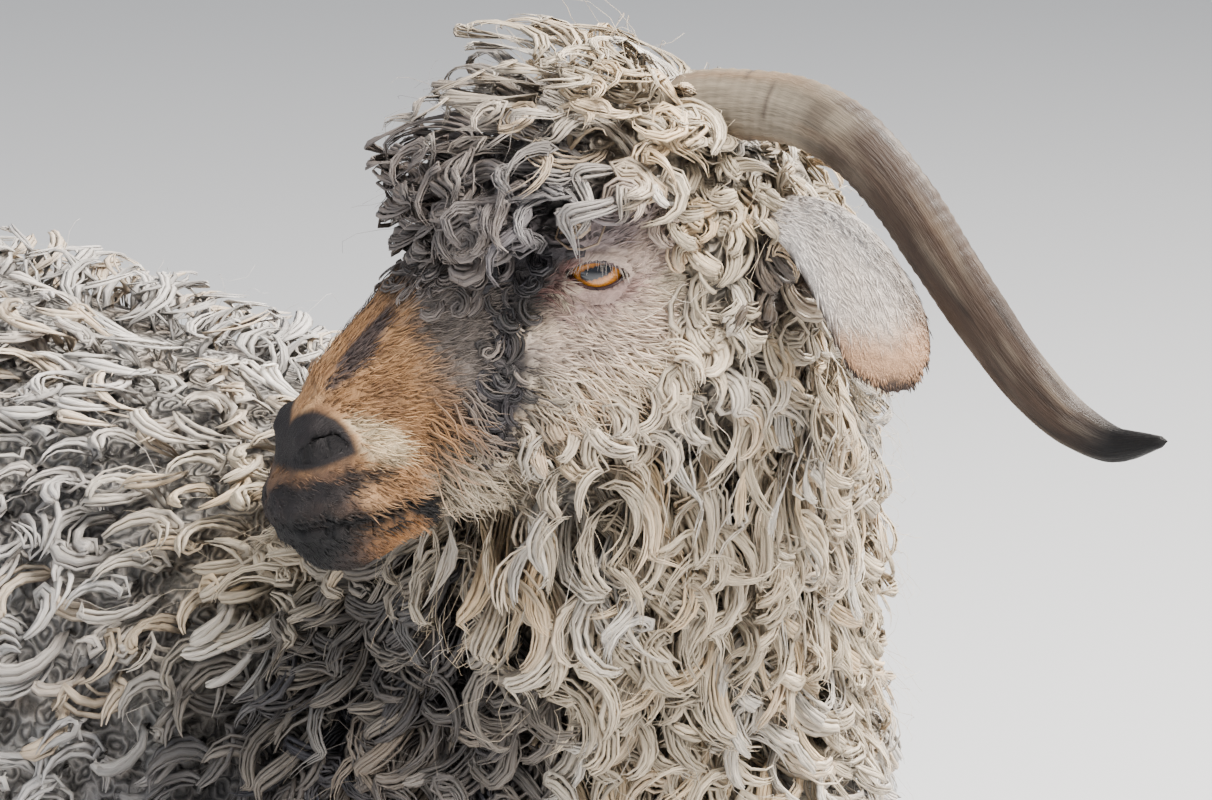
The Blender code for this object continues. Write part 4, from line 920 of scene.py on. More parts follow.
def coat_lie(p, normal):
    """The way the coat falls: down and back on the trunk, down the neck, out and forward on the crown."""
    q = to_head(p)
    side = np.sign(q[:, 1:2])
    near_head = smoothstep(0.17, 0.12, np.linalg.norm(q - (0.0, 0, 0.02), axis=1))[:, None]
    crown = near_head * smoothstep(0.015, 0.035, q[:, 2])[:, None]
    trunk = smoothstep(0.26, 0.16, p[:, 0])[:, None]
    top = smoothstep(0.55, 0.62, p[:, 2])[:, None] * trunk
    way = np.array([0, 0, -1.0]) + np.array([-0.35, 0, 0]) * trunk
    way = way + top * np.array([0, 1, 0]) * np.sign(p[:, 1:2]) * 0.8
    tail = (smoothstep(-0.37, -0.41, p[:, 0]) * smoothstep(0.58, 0.62, p[:, 2]))[:, None]
    way = way * (1 - tail) + np.array([-0.3, 0, -1.0]) * tail
    outward = AXES @ np.array([0.55, 0, -0.15]) + side * (AXES @ np.array([0, 0.55, 0]))
    return flat_on(way * (1 - crown) + outward * crown, normal)


def scattered(points, faces, share, apart, tries, rng):
    """Places on the surface where share is above 0, no two closer than apart, with their share."""
    a, b, c = points[faces[:, 0]], points[faces[:, 1]], points[faces[:, 2]]
    area = np.linalg.norm(np.cross(b - a, c - a), axis=1)
    weight = area * share[faces].mean(axis=1)
    pick = rng.choice(len(faces), tries, p=weight / weight.sum())
    u, v = rng.uniform(size=(2, tries, 1))
    flip = u + v > 1
    u, v = np.where(flip, 1 - u, u), np.where(flip, 1 - v, v)
    places = a[pick] + u * (b[pick] - a[pick]) + v * (c[pick] - a[pick])
    if not apart:
        return places
    kept = np.zeros((tries, 3))
    number = 0
    for place in places:
        if number == 0 or ((kept[:number] - place) ** 2).sum(axis=1).min() > apart * apart:
            kept[number] = place
            number += 1
    return kept[:number]


def laid(roots, depth, share, drop, reach, swirl, steps):
    """Middle lines of locks: each leaves the skin, rises to its share of the coat and follows the lie."""
    here = roots
    least = 0.55 * depth
    lines, normals, lies = [], [], []
    for step in range(steps + 1):
        normal = normal_at(body_field, here)
        lie = coat_lie(here, normal)
        side = np.cross(normal, lie)
        lie = np.cos(swirl)[:, None] * lie + np.sin(swirl)[:, None] * side
        lines.append(here)
        normals.append(normal)
        lies.append(lie)
        t = (step + 1) / steps
        coat = coat_depth(here)
        deep = np.maximum((1 - UNDER) * coat, least)
        rise = np.maximum(deep * share - drop, 0.3 * deep)
        height = UNDER * coat + rise * (1 - (1 - t) ** 2.2)
        here = here + (reach / steps)[:, None] * lie
        here = here + (height - body_field(here))[:, None] * normal
    return np.stack(lines, axis=1), np.stack(normals, axis=1), np.stack(lies, axis=1)


def between(values, t):
    """Rows of values, spread evenly from 0 to 1, read at t."""
    last = values.shape[1] - 1
    place = np.clip(t, 0, 1) * last
    i = np.minimum(place.astype(int), last - 1)
    part = (place - i)[..., None]
    rows = np.arange(len(values))[:, None]
    return (1 - part) * values[rows, i] + part * values[rows, i + 1]


def strand_ways(paths, facing):
    """The ways along the strands and across them, level with the skin, at each point."""
    along = unit(np.gradient(paths, axis=1) + 1e-12)
    return along, unit(np.cross(along, facing) + 1e-9)


def ribbons(paths, half, facing, thick):
    """Closed three-sided tapered strands with their flat side to the skin: points and faces."""
    count, steps, _ = paths.shape
    along, across = strand_ways(paths, facing)
    above = np.cross(across, along)
    half = half[..., None]
    rings = np.stack([paths - half * across, paths + half * across, paths + thick * half * above], axis=2)
    index = np.arange(count * steps * 3).reshape(count, steps, 3)
    turned = np.roll(index, -1, axis=2)
    quads = np.stack([index[:, 1:], turned[:, 1:], turned[:, :-1], index[:, :-1]], axis=-1).reshape(-1, 4)
    caps = np.vstack([index[:, 0], index[:, -1, ::-1]])
    return rings.reshape(-1, 3), [quads, caps]


def rolled(along, a, b):
    """A flat place: how far along a part a point is, and its turn about the part's middle line."""
    return np.column_stack([along, 0.5 + np.arctan2(a, b) / 6.2832])


def unwrapped(p):
    """A flat place for each point: trunk, neck, head, legs and tail each rolled out in a frame of its own."""
    q = to_head(p)
    neck_way = unit(p - NECK_MIDDLE)
    corner = (p[:, 0] > 0) * 2 + (p[:, 1] > 0)
    foot = FEET[corner]
    places = [rolled((p[:, 0] + 0.48) / 0.90, p[:, 1], p[:, 2] - 0.45),
              rolled((p[:, 2] - 0.40) / 0.45, neck_way[:, 1], neck_way[:, 0]),
              rolled((q[:, 0] + 0.13) / 0.30, q[:, 1], q[:, 2] + 0.02),
              rolled(p[:, 2] / 0.30, p[:, 1] - foot[:, 1], p[:, 0] - foot[:, 0])]
    near_head = np.linalg.norm(q - (0.02, 0, -0.02), axis=1) < 0.125
    on_neck = (p[:, 0] > 0.22) & (p[:, 2] > 0.52)
    on_leg = p[:, 2] < 0.27
    which = np.where(near_head, 2, np.where(on_neck, 1, np.where(on_leg, 3, 0)))
    flat = np.zeros((len(p), 2))
    for number, (place, (low, size)) in enumerate(zip(places, PATCH_FRAMES)):
        mine = which == number
        flat[mine] = np.array(low) + np.clip(place[mine], 0, 1) * np.array(size)
    return flat + np.where(which == 3, corner * LEG_STEP, 0)[:, None] * (1, 0)


def tuft_patch(roots, steps):
    """The OFBake place of each strand's points: a small patch where its root lies."""
    flat = unwrapped(roots)
    along = np.linspace(0, PATCH_SIZE, steps)
    spread = np.array([0, PATCH_SIZE, PATCH_SIZE / 2])
    grid = np.stack(np.meshgrid(along, spread, indexing="ij"), axis=-1)
    return (flat[:, None, None] + grid[None]).reshape(-1, 2)


def strand_piece(name, paths, half, facing, roots, tones, finish, thick=0.55):
    """One coat piece, or several of fewer than 200,000 triangles each."""
    steps = paths.shape[1]
    per_piece = MOST_TRIANGLES // (6 * (steps - 1) + 2)
    t = np.linspace(0, 1, steps)
    # Each strand darkens towards its root, as painted shade deep in the coat and partly as dirt
    shade = ROOT_SHADE + (1 - ROOT_SHADE) * smoothstep(0, 0.35, t) + TIP_LIGHT * smoothstep(0.5, 1, t)
    for number, first in enumerate(range(0, len(paths), per_piece)):
        part = slice(first, first + per_piece)
        points, faces = ribbons(paths[part], half[part], facing[part], thick)
        count = len(paths[part])
        tint = np.repeat((tones[part][:, None] * shade[None, :, None])[:, :, None], 3, axis=2).reshape(-1, 3)
        steps_long = np.linalg.norm(np.diff(paths[part], axis=1), axis=2)
        length = np.concatenate([np.zeros((count, 1)), np.cumsum(steps_long, axis=1)], axis=1)
        flow = np.zeros((count, steps, 3, 3))
        flow[..., 0] = np.array([-1, 1, 0]) * half[part][:, :, None]
        flow[..., 1] = length[:, :, None]
        flow[..., 2] = (np.arange(count) * 0.37 % 50)[:, None, None]
        make_piece(f"{name}_{number + 1:02d}", points, faces, finish, np.clip(tint, 0, 0.95),
                   flow.reshape(-1, 3), tuft_patch(roots[part], steps))


def rooted_depth(p, kind):
    """The coat's depth a little further along the lie, so that it begins above the edge it covers."""
    ahead = p + kind["ahead"] * coat_lie(p, normal_at(body_field, p))
    return np.maximum(0.5 * coat_depth(p) + 0.5 * coat_depth(ahead), kind["least"])


def lock_bundle(name, roots, kind, finish, rng):
    """Curled locks on the roots: each is a bundle of strands that share their curl and lie side by side."""
    count = len(roots)
    depth = rooted_depth(roots, kind) * (1 - UNDER)
    size = np.clip(depth / 0.026, 0.45, 1.25)
    radius = kind["radius"] * size ** 0.6 * rng.uniform(0.75, 1.25, count)
    reach = kind["reach"] * size ** 0.7 * rng.uniform(0.7, 1.25, count)
    tip = rng.uniform(*kind["tip"], count)
    q = to_head(roots)
    tuft = smoothstep(0.050, 0.062, q[:, 2]) * smoothstep(0.06, 0.04, np.linalg.norm(q * (1, 1, 0), axis=1))
    share = rng.uniform(0.70, 1.0, count) + 0.50 * tuft * rng.uniform(0, 1, count)
    reach = reach * (1 - 0.35 * smoothstep(0.025, 0.055, q[:, 0]) * smoothstep(0.02, 0.04, q[:, 2]))
    swirl = 0.35 * ripple(roots, 0.06, 21) + rng.normal(0, 0.40, count)
    for _ in range(3):
        lines, normals, lies = laid(roots, depth, share, 0.8 * radius * np.cos(tip), reach, swirl, 8)
        bare = (coat_depth(lines[:, -1]) < BARE) & (head_field(lines[:, -1]) < 0.06) & (kind["least"] == 0)
        reach = np.where(bare, 0.55 * reach, reach)
    turns = rng.uniform(*kind["turns"], count)
    hand = np.where(ripple(roots, 0.05, 22) + rng.normal(0, 0.5, count) > 0, 1.0, -1.0)
    phase = rng.uniform(0, 2 * math.pi, count)
    tone = marking(between(lines, np.full((count, 1), 0.0 if kind["least"] else 0.35))[:, 0])
    tone = tone * (1 + rng.normal(0, 0.11, count))[:, None]
    tone = mixed(tone, GOLD, 0.40 * (rng.uniform(size=count) < 0.16) * (tone.sum(axis=1) > 0.6))

    strands = kind["strands"]
    own = np.repeat(np.arange(count), strands)
    total = len(own)
    loose = rng.uniform(size=total) < LOOSE
    place = np.tile(np.linspace(-1, 1, strands), count) + rng.normal(0, 0.07, total)
    place = place + loose * rng.normal(0, 0.9, total)
    t = np.linspace(0, 1, kind["points"])[None] * rng.uniform(0.86, 1.0, (total, 1))
    line, normal, lie = between(lines[own], t), unit(between(normals[own], t)), unit(between(lies[own], t))
    side = np.cross(normal, lie)
    tip_over = tip[own][:, None, None]
    second = np.cos(tip_over) * normal + np.sin(tip_over) * lie
    start = (phase[own] + rng.normal(0, 0.09, total) + loose * rng.normal(0, 0.6, total))[:, None]
    angle = start + (hand * turns)[own][:, None] * 2 * math.pi * t
    swing = radius[own][:, None] * smoothstep(0, 0.30, t) * (1 - 0.45 * smoothstep(0.4, 1.0, t))
    swing = swing * rng.uniform(0.96, 1.04, (total, 1))
    curl = (swing * (np.cos(angle) - 0.6 * np.cos(start)))[..., None] * side
    curl = curl + (swing * (np.sin(angle) - 0.6 * np.sin(start)))[..., None] * second
    path = line + curl
    facing = unit(normal + 0.25 * second)
    _, across = strand_ways(path, facing)
    bunch = kind["spread"] * (1.0 - 0.78 * smoothstep(0.50, 1.0, t))
    wander = 1 + 0.25 * np.sin(rng.uniform(0, 6.3, (total, 1)) + 9 * t)
    path = path + (bunch * place[:, None] * wander)[..., None] * across
    path = path - (0.35 * kind["spread"] * place[:, None] ** 2)[..., None] * facing
    sunk = ROOT_SINK * normals[own, 0]
    path[:, 0] = roots[own] - sunk + (kind["spread"] * 0.6 * place[:, None]) * side[:, 0]
    half = kind["half"] * (0.7 + 0.3 * smoothstep(0, 0.3, t)) * (1 - 0.88 * smoothstep(0.62, 1.0, t))
    half = half * rng.choice(WIDTHS, (total, 1))
    tones = tone[own] * (1 + kind["vary"] * rng.normal(0, 1, total))[:, None]
    tones = np.maximum(tones, 0.3 * tone[own])
    strand_piece(name, path, half, facing, roots[own], tones, finish)


def stray_hairs(name, roots, finish, rng):
    """Single fine hairs that curl out past the locks."""
    count = len(roots)
    depth = np.maximum(coat_depth(roots), 0.012)
    share = rng.uniform(0.95, 1.30, count)
    reach = rng.uniform(0.015, 0.045, count)
    lines, normals, lies = laid(roots, depth, share, 0 * depth, reach, rng.normal(0, 0.9, count), 6)
    t = np.linspace(0, 1, 8)[None] * np.ones((count, 1))
    line, normal, lie = between(lines, t), unit(between(normals, t)), unit(between(lies, t))
    side = np.cross(normal, lie)
    start = rng.uniform(0, 6.3, (count, 1))
    angle = start + rng.uniform(3, 8, (count, 1)) * t * rng.choice((-1, 1), (count, 1))
    swing = rng.uniform(0.003, 0.007, (count, 1)) * smoothstep(0.1, 0.5, t)
    tip = rng.uniform(0.0, 1.2, (count, 1, 1))
    path = line + (swing * np.cos(angle))[..., None] * side
    path = path + (swing * np.sin(angle))[..., None] * (np.cos(tip) * normal + np.sin(tip) * lie)
    half = 0.00016 * (1 - 0.6 * t)
    tones = marking(roots) * rng.uniform(0.9, 1.35, (count, 1))
    strand_piece(name, path, half, normal, roots, tones, finish, 0.9)


def face_lie(q, normal):
    """The way the short hair lies on the face, in the head's axes: back from the nose, away from the eye."""
    side = np.sign(q[:, 1:2])
    mirror = np.hstack([np.ones_like(side), side, np.ones_like(side)])
    way = np.array([-1.0, 0, -0.12]) + 0 * q
    way = way + smoothstep(0.0, -0.045, q[:, 2])[:, None] * np.array([0.1, 0, -0.75])
    from_eye = q - EYE_AT * mirror
    gap = np.linalg.norm(from_eye, axis=1, keepdims=True)
    way = way + 1.6 * smoothstep(0.036, 0.014, gap) * from_eye / np.maximum(gap, 1e-6)
    way = way + smoothstep(-0.056, -0.066, q[:, 2])[:, None] * np.array([0.2, 0, -0.5])
    return flat_on(way @ AXES.T, normal)


def short_fur(name, roots, normals, lies, length, half, lift, finish, rng, tones, steps, wave=0.0):
    """Short tapered hairs that lie along the skin and bend down at their tips."""
    count = len(roots)
    t = np.linspace(0, 1, steps)[None, :, None]
    side = np.cross(normals, lies)
    turn = rng.normal(0, 0.22, (count, 1))
    way = np.cos(turn) * lies + np.sin(turn) * side
    sway = wave * length[:, None, None] * np.sin(6.3 * t + rng.uniform(0, 6.3, (count, 1, 1)))
    rise = (lift * length * rng.uniform(0.6, 1.3, count))[:, None, None] * (t * (1.6 - t))
    path = (roots - 0.0006 * normals)[:, None] + length[:, None, None] * t * way[:, None]
    path = path + rise * normals[:, None] + sway * side[:, None]
    taper = np.array([0.75] + list(np.linspace(1, 0.12, steps - 1)))
    facing = np.repeat(normals[:, None], steps, axis=1)
    strand_piece(name, path, half[:, None] * taper, facing, roots, tones, finish, 0.45)


def face_fur(points, faces, share, finish, rng):
    """The face's short hair, left away from the opening of the eyes and from the nose pad."""
    roots = scattered(points, faces, share, 0, FACE_HAIRS, rng)
    normals = normal_at(body_field, roots)
    q = to_head(roots)
    from_pupil = np.linalg.norm(on_left(q) - EYE_AT - EYE_R * unit(EYE_LOOK), axis=1)
    keep = (from_pupil > 0.0118) & (nose_pad(q) < 0.3)
    roots, normals, q = roots[keep], normals[keep], q[keep]
    count = len(roots)
    edge = smoothstep(0.060, 0.0, q[:, 0]) * smoothstep(0.0, -0.03, q[:, 2])
    length = (0.0078 + 0.0090 * edge) * rng.uniform(0.75, 1.25, count)
    length = length * (1 - 0.45 * smoothstep(0.110, 0.135, q[:, 0]))
    half = (0.00030 + 0.00026 * edge) * rng.uniform(0.8, 1.2, count)
    tones = marking(roots) * (1 + rng.normal(0, 0.20, count))[:, None]
    lies = face_lie(q, normals)
    short_fur("face_fur", roots, normals, lies, length, half, 0.32, finish, rng, tones, 3, 0.04)


def coarse_fur(name, points, faces, share, finish, rng):
    """Longer hair of one kind, on cheeks or shanks."""
    kind = HAIRS[name]
    count = kind["count"]
    roots = scattered(points, faces, share, 0, count, rng)
    normals = normal_at(body_field, roots)
    length = rng.uniform(*kind["length"], count)
    tones = marking(roots) * (1 + rng.normal(0, kind["vary"], count))[:, None]
    lies = flat_on(kind["way"] + 0 * roots, normals)
    short_fur(name, roots, normals, lies, length, np.full(count, kind["half"]), kind["lift"], finish, rng,
              tones, kind["steps"], kind["wave"])


def tube(rings, closed_tip=None):
    """Points and faces of a closed tube through rings of points, with a fan at each end."""
    rings = np.asarray(rings)
    steps, sides, _ = rings.shape
    index = np.arange(steps * sides).reshape(steps, sides)
    turned = np.roll(index, -1, axis=1)
    quads = np.stack([index[:-1], turned[:-1], turned[1:], index[1:]], axis=-1).reshape(-1, 4)
    ends = [rings[0].mean(axis=0), rings[-1].mean(axis=0) if closed_tip is None else closed_tip]
    first = np.column_stack([turned[0], index[0], np.full(sides, steps * sides)])
    last = np.column_stack([index[-1], turned[-1], np.full(sides, steps * sides + 1)])
    return np.vstack([rings.reshape(-1, 3), ends]), [quads, np.vstack([first, last])]


def with_ends(values):
    """Values at a tube's points: its rings' own, and the outermost ones again for the two fans' middles."""
    return np.vstack([values, values[:1], values[-1:]])


def circle(sides):
    """Angles spread evenly round a ring."""
    return 2 * math.pi * np.arange(sides) / sides


def outward(points, faces):
    """The faces turned so that they enclose a volume above 0."""
    total = 0
    for group in faces:
        a = points[group[:, 0]]
        for k in range(1, group.shape[1] - 1):
            total += (a * np.cross(points[group[:, k]], points[group[:, k + 1]])).sum()
    return faces if total > 0 else [group[:, ::-1] for group in faces]


def smooth_path(points, count):
    """Rows spread evenly along a smooth curve through the given rows."""
    rows = np.array(points, float)
    steps = np.linalg.norm(np.diff(rows[:, :3], axis=0), axis=1)
    length = np.concatenate([[0], np.cumsum(steps)])
    return eased(np.linspace(0, length[-1], count), length, rows)


def rings_along(path, sizes, sides):
    """Oval rings square to a path, with the half widths that each point has."""
    rings = []
    across = unit(np.cross(path[1] - path[0], [0.3, 1, 0.2]))
    for i, (centre, (wide, thick)) in enumerate(zip(path, sizes)):
        along = unit(path[min(i + 1, len(path) - 1)] - path[max(i - 1, 0)])
        across = unit(across - (across @ along) * along)
        third = np.cross(along, across)
        rings.append([centre + wide * math.cos(a) * across + thick * math.sin(a) * third
                      for a in circle(sides)])
    return rings


def horn(name, side, finish):
    """The horn's rows as in the solids, finely divided, with growth rings and long furrows."""
    rows = smooth_path(mirrored(HORN, side), HORN_RINGS)
    t = np.linspace(0, 1, HORN_RINGS)
    if side < 0:
        rows[:, :3] += HORN_LEAN * (np.minimum(t / HORN_ROOT, 1) * (1 - t))[:, None]
    path = from_head(rows[:, :3])
    rings = np.array(rings_along(path, rows[:, 3:], HORN_SIDES))
    grid = np.stack(np.meshgrid(t * 0.33, circle(HORN_SIDES), indexing="ij"), axis=-1).reshape(-1, 2)
    run, angle = grid.T
    probe = np.column_stack([run, 0.012 * np.cos(angle), 0.012 * np.sin(angle)])
    ridges = np.sin(run * 6.3 / 0.0062 + 1.3 * ripple(probe, 0.03, 31)) * smoothstep(0.27, 0.12, run)
    furrow = ripple(probe * (0.12, 1, 1), 0.006, 32)
    bump = HORN_RIDGE * 0.6 * (ridges - 1) + HORN_RIDGE * 0.7 * (furrow - 1)
    bump = bump.reshape(HORN_RINGS, HORN_SIDES, 1) / rows[:, 3:4][:, None]
    centre = path[:, None]
    rings = centre + (rings - centre) * (1 + bump * smoothstep(1.0, 0.90, t)[:, None, None])
    points, faces = tube(rings, path[-1] + HORN_POINT * unit(path[-1] - path[-2]))
    brown = smoothstep(0.08, 0.15, run + 0.02 * ripple(probe, 0.03, 33))
    streaks = 0.55 * patches(probe * (0.2, 1, 1), 0.008, 35, 0.3) * brown
    dark = np.maximum(smoothstep(0.270, 0.305, run), streaks)
    tint = linear(HORN_PALE) * (1 + 0.14 * furrow + 0.07 * ridges)[:, None]
    tint = mixed(tint, HORN_WARM, 0.60 * patches(probe * (0.3, 1, 1), 0.02, 34))
    tint = mixed(tint, HORN_BROWN, 0.94 * brown * (1 - 0.30 * smoothstep(0, 1, furrow)))
    tint = mixed(tint, HORN_DARK, dark)
    crack = patches(probe * (1, 0.35, 0.35), 0.012, 36, 0.72, 0.95) * (1 - brown)
    tint = with_ends(mixed(tint, HORN_CRACK, 0.7 * crack))
    flow = with_ends(np.column_stack([0.016 * np.cos(angle), 0.016 * np.sin(angle), run]))
    made = make_piece(name, points, outward(points, faces), finish, np.clip(tint, *TONE_LIMITS), flow)
    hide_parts(name.replace("_surface", ""))


def ear_colour(t, s, inside):
    """The ear's colour, t from its root to its tip and s across it, -1 to 1, on its outer or inner face."""
    tone = linear(EAR_WHITE) + np.zeros((len(t), 3))
    tone = mixed(tone, EAR_GREY, 0.6 * smoothstep(0.20, 0.7, t + 0.10 * np.sin(5 * s)))
    tone = mixed(tone, EAR_TAN, 0.85 * smoothstep(0.72, 0.92, t + 0.1 * np.abs(s)))
    rim = np.maximum(np.abs(s) * smoothstep(0.10, 0.35, t), t ** 2)
    tone = mixed(tone, EAR_RIM, 0.95 * smoothstep(0.86, 0.96, rim))
    return mixed(tone, EAR_INSIDE, 0.8 * inside * smoothstep(1.0, 0.5, np.abs(s)))


def ear(name, side, skin_finish, hair_finish, rng):
    """A rolled leaf as in the solids, finely divided, with short hair on both faces that runs to the tip."""
    rows = smooth_path(mirrored(EAR, side), EAR_RINGS)
    path = rows[:, :3]
    t = np.linspace(0, 1, EAR_RINGS)
    rows[:, 3] *= np.sqrt(1 - 0.72 * np.clip((t - 0.84) / 0.16, 0, 1) ** 2)
    spread = np.linspace(-1, 1, EAR_SPREAD)
    outer, inner, out_ways, along_ways = [], [], [], []
    for i, (half, roll) in enumerate(rows[:, 3:]):
        along = unit(path[min(i + 1, len(rows) - 1)] - path[max(i - 1, 0)])
        wide = unit(EAR_WIDE - (EAR_WIDE @ along) * along)
        out = side * np.cross(wide, along)
        thick = EAR_THICK / 2 * min(1, half / EAR_THIN_BELOW)
        turn = (spread * roll)[:, None]
        normal = np.sin(turn) * wide + np.cos(turn) * out
        middle = path[i] + half / roll * (np.sin(turn) * wide + (np.cos(turn) - 1) * out)
        reach = (thick * (1 - 0.85 * np.abs(spread) ** 4))[:, None]
        outer.append(middle + reach * normal)
        inner.append(middle - reach * normal)
        out_ways.append(normal)
        along_ways.append(np.repeat(along[None], EAR_SPREAD, axis=0))
    outer, inner = from_head(np.array(outer)), from_head(np.array(inner))
    out_ways, along_ways = np.array(out_ways) @ AXES.T, np.array(along_ways) @ AXES.T
    points, faces = tube(np.concatenate([outer, inner[:, ::-1]], axis=1))

    grid_t = np.repeat(t, 2 * EAR_SPREAD)
    grid_s = np.tile(np.concatenate([spread, spread[::-1]]), EAR_RINGS)
    grid_in = np.tile(np.repeat([0.0, 1.0], EAR_SPREAD), EAR_RINGS)
    tint = with_ends(ear_colour(grid_t, grid_s, grid_in))
    flow = with_ends(np.column_stack([grid_s * 0.02, grid_t * 0.11, grid_in]))
    made = make_piece(f"ear_{name}_surface", points, outward(points, faces), skin_finish, tint * 0.85, flow)
    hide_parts("ear_" + name)

    hair_t, hair_s = rng.uniform(0.10, 0.985, EAR_HAIRS), rng.uniform(-0.98, 0.98, EAR_HAIRS)
    inside = rng.uniform(size=EAR_HAIRS) < 0.30

    def read(grid):
        """The grid's values at each hair's place."""
        i, j = hair_t * (EAR_RINGS - 1), (hair_s + 1) / 2 * (EAR_SPREAD - 1)
        i0, j0 = np.minimum(i.astype(int), EAR_RINGS - 2), np.minimum(j.astype(int), EAR_SPREAD - 2)
        a, b = (i - i0)[:, None], (j - j0)[:, None]
        return ((1 - a) * (1 - b) * grid[i0, j0] + a * (1 - b) * grid[i0 + 1, j0]
                + (1 - a) * b * grid[i0, j0 + 1] + a * b * grid[i0 + 1, j0 + 1])

    roots = np.where(inside[:, None], read(inner), read(outer))
    normals = unit(read(out_ways)) * np.where(inside, -1, 1)[:, None]
    lies = unit(read(along_ways))
    tones = ear_colour(hair_t, hair_s, inside.astype(float)) * (1 + rng.normal(0, 0.10, EAR_HAIRS))[:, None]
    length = rng.uniform(0.0060, 0.0100, EAR_HAIRS) * (1 - 0.60 * smoothstep(0.6, 1.0, hair_t))
    half = np.full(EAR_HAIRS, 0.00040)
    short_fur(f"ear_{name}_fur", roots, normals, lies, length, half, 0.16, hair_finish, rng, tones, 3)


def claw(name, leg, side, finish):
    """Half a cloven hoof as in the solids, with a rounded edge and growth rings."""
    x, y, _, _ = leg_points(leg)[-1]
    along, across = np.cos(circle(CLAW_SIDES)), np.sin(circle(CLAW_SIDES))
    inward = across < 0
    toe = 1 - CLAW_TOE * np.maximum(along, 0) ** 2 * np.where(inward, 0, 1)
    rings = []
    for t in CLAW_HEIGHTS:
        length, width = CLAW_LENGTH * (1 - CLAW_SHORTER * t), CLAW_WIDTH * (1 - CLAW_SLIMMER * t)
        middle = x + CLAW_LEAD * (1 - t) + CLAW_BACK
        tuck = 1 - 0.06 * smoothstep(0.06, 0, t) - 0.010 * (1 + math.sin(t * 34))
        breadth = width * np.where(inward, CLAW_INNER, CLAW_OUTER)
        outwards = CLAW_SPLIT / 2 + width * CLAW_INNER + tuck * breadth * across * toe
        rings.append(np.column_stack([middle + tuck * length / 2 * along, y + side * outwards,
                                      np.full(CLAW_SIDES, t * (CORONET + 0.001))]))
    points, faces = tube(rings)
    z = points[:, 2]
    tint = linear(HOOF) * (1 + 0.25 * np.sin(z * 900) * smoothstep(0.004, 0.02, z))[:, None]
    tint = mixed(tint, HOOF_PALE, 0.4 * patches(points, 0.012, 41, 0.2))
    made = make_piece(name + "_surface", points, outward(points, faces), finish, tint, points * (1, 1, 0.15))
    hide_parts(name)


def iris_colour(a, angle):
    """The ball's colour on the ring that is turned by a from the way the eye looks."""
    out = EYE_R * math.sin(a) / IRIS if a < 1.57 else 2.0
    across, high = EYE_R * math.sin(a) * np.cos(angle), EYE_R * math.sin(a) * np.sin(angle)
    rays = 0.5 + 0.5 * np.sin(angle * 46 + 3 * np.sin(angle * 7) + 9 * out)
    tone = linear(AMBER) * (0.80 + 0.30 * rays)[:, None]
    tone = mixed(tone, AMBER_DARK, np.full(EYE_SIDES, 0.75 * smoothstep(0.80, 1.0, out)))
    ragged = high + 0.0002 * np.sin(across * 3000)
    slot = (np.abs(across) / PUPIL_HALF_WIDTH) ** 4 + (np.abs(ragged) / PUPIL_HALF_HEIGHT) ** 2
    tone = mixed(tone, AMBER_DARK, 0.55 * smoothstep(2.3, 1.2, slot))
    tone = mixed(tone, PUPIL, smoothstep(1.25, 0.85, slot))
    return mixed(tone, IRIS_EDGE, np.full(EYE_SIDES, smoothstep(0.98, 1.06, out)))


def eyeball(name, side, finish):
    """The eyeball, finest about the way it looks, with iris, level pupil and a slight bulge over them."""
    look, _, rise = eye_ways(side)
    level_look = unit(look + EYE_RISE * rise)
    up = unit(np.array([0, 0, 1]) - level_look[2] * level_look)
    right = np.cross(level_look, up)
    turn = np.concatenate([np.linspace(0.012, 0.95, EYE_FRONT), np.linspace(0.98, math.pi - 0.05, EYE_BACK)])
    angle = circle(EYE_SIDES)
    spun = np.cos(angle)[:, None] * right + np.sin(angle)[:, None] * up
    reach = EYE_R - 0.0005 + CORNEA_RISE * smoothstep(0.85, 0.3, turn)
    rings = [eye_at(side) + r * (math.cos(a) * level_look + math.sin(a) * spun) for a, r in zip(turn, reach)]
    points, faces = tube(from_head(np.array(rings)))
    tint = with_ends(np.vstack([iris_colour(a, angle) for a in turn]))
    made = make_piece(f"eye_{name}_ball", points, outward(points, faces), finish, tint, points)
    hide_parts("eye_" + name)


def lid_line(side, count):
    """The edge of the lids on the eyeball, from the front corner over the top and back under it."""
    look, ahead, rise = eye_ways(side)
    turn = np.linspace(0, 2 * math.pi, count, endpoint=False)
    a = LID_HALF * np.cos(turn)
    open_half = np.where(np.sin(turn) > 0, LID_UP, LID_DOWN) * (1 - np.cos(turn) ** 2)
    b = np.sign(np.sin(turn)) * open_half
    depth = np.sqrt((EYE_R + 0.0008) ** 2 - a ** 2 - b ** 2)
    line = eye_at(side) + a[:, None] * ahead + b[:, None] * rise + depth[:, None] * look
    return line, look, ahead, rise


def lid_rim(name, side, finish):
    """A moist dark rim round the opening, thicker on the upper lid."""
    line, _, _, rise = lid_line(side, RIM_STEPS)
    along = unit(np.roll(line, -1, axis=0) - np.roll(line, 1, axis=0))
    away = line - eye_at(side)
    out = unit(away)
    size = (0.0011 + 0.0004 * np.maximum(0, away @ rise) / LID_UP)[:, None, None]
    angle = circle(RIM_SIDES)[:, None]
    across = np.cross(along, out)
    rings = line[:, None] + size * (np.cos(angle) * out[:, None] + np.sin(angle) * across[:, None])
    index = np.arange(RIM_STEPS * RIM_SIDES).reshape(RIM_STEPS, RIM_SIDES)
    following, turned = np.roll(index, -1, axis=0), np.roll(index, -1, axis=1)
    quads = np.stack([index, turned, np.roll(turned, -1, axis=0), following], axis=-1).reshape(-1, 4)
    points = from_head(rings).reshape(-1, 3)
    tint = mixed(linear(RIM) + 0 * points, RIM_PINK, 0.4 * patches(points, 0.006, 51))
    make_piece(f"lid_rim_{name}", points, outward(points, [quads]), finish, tint, points)


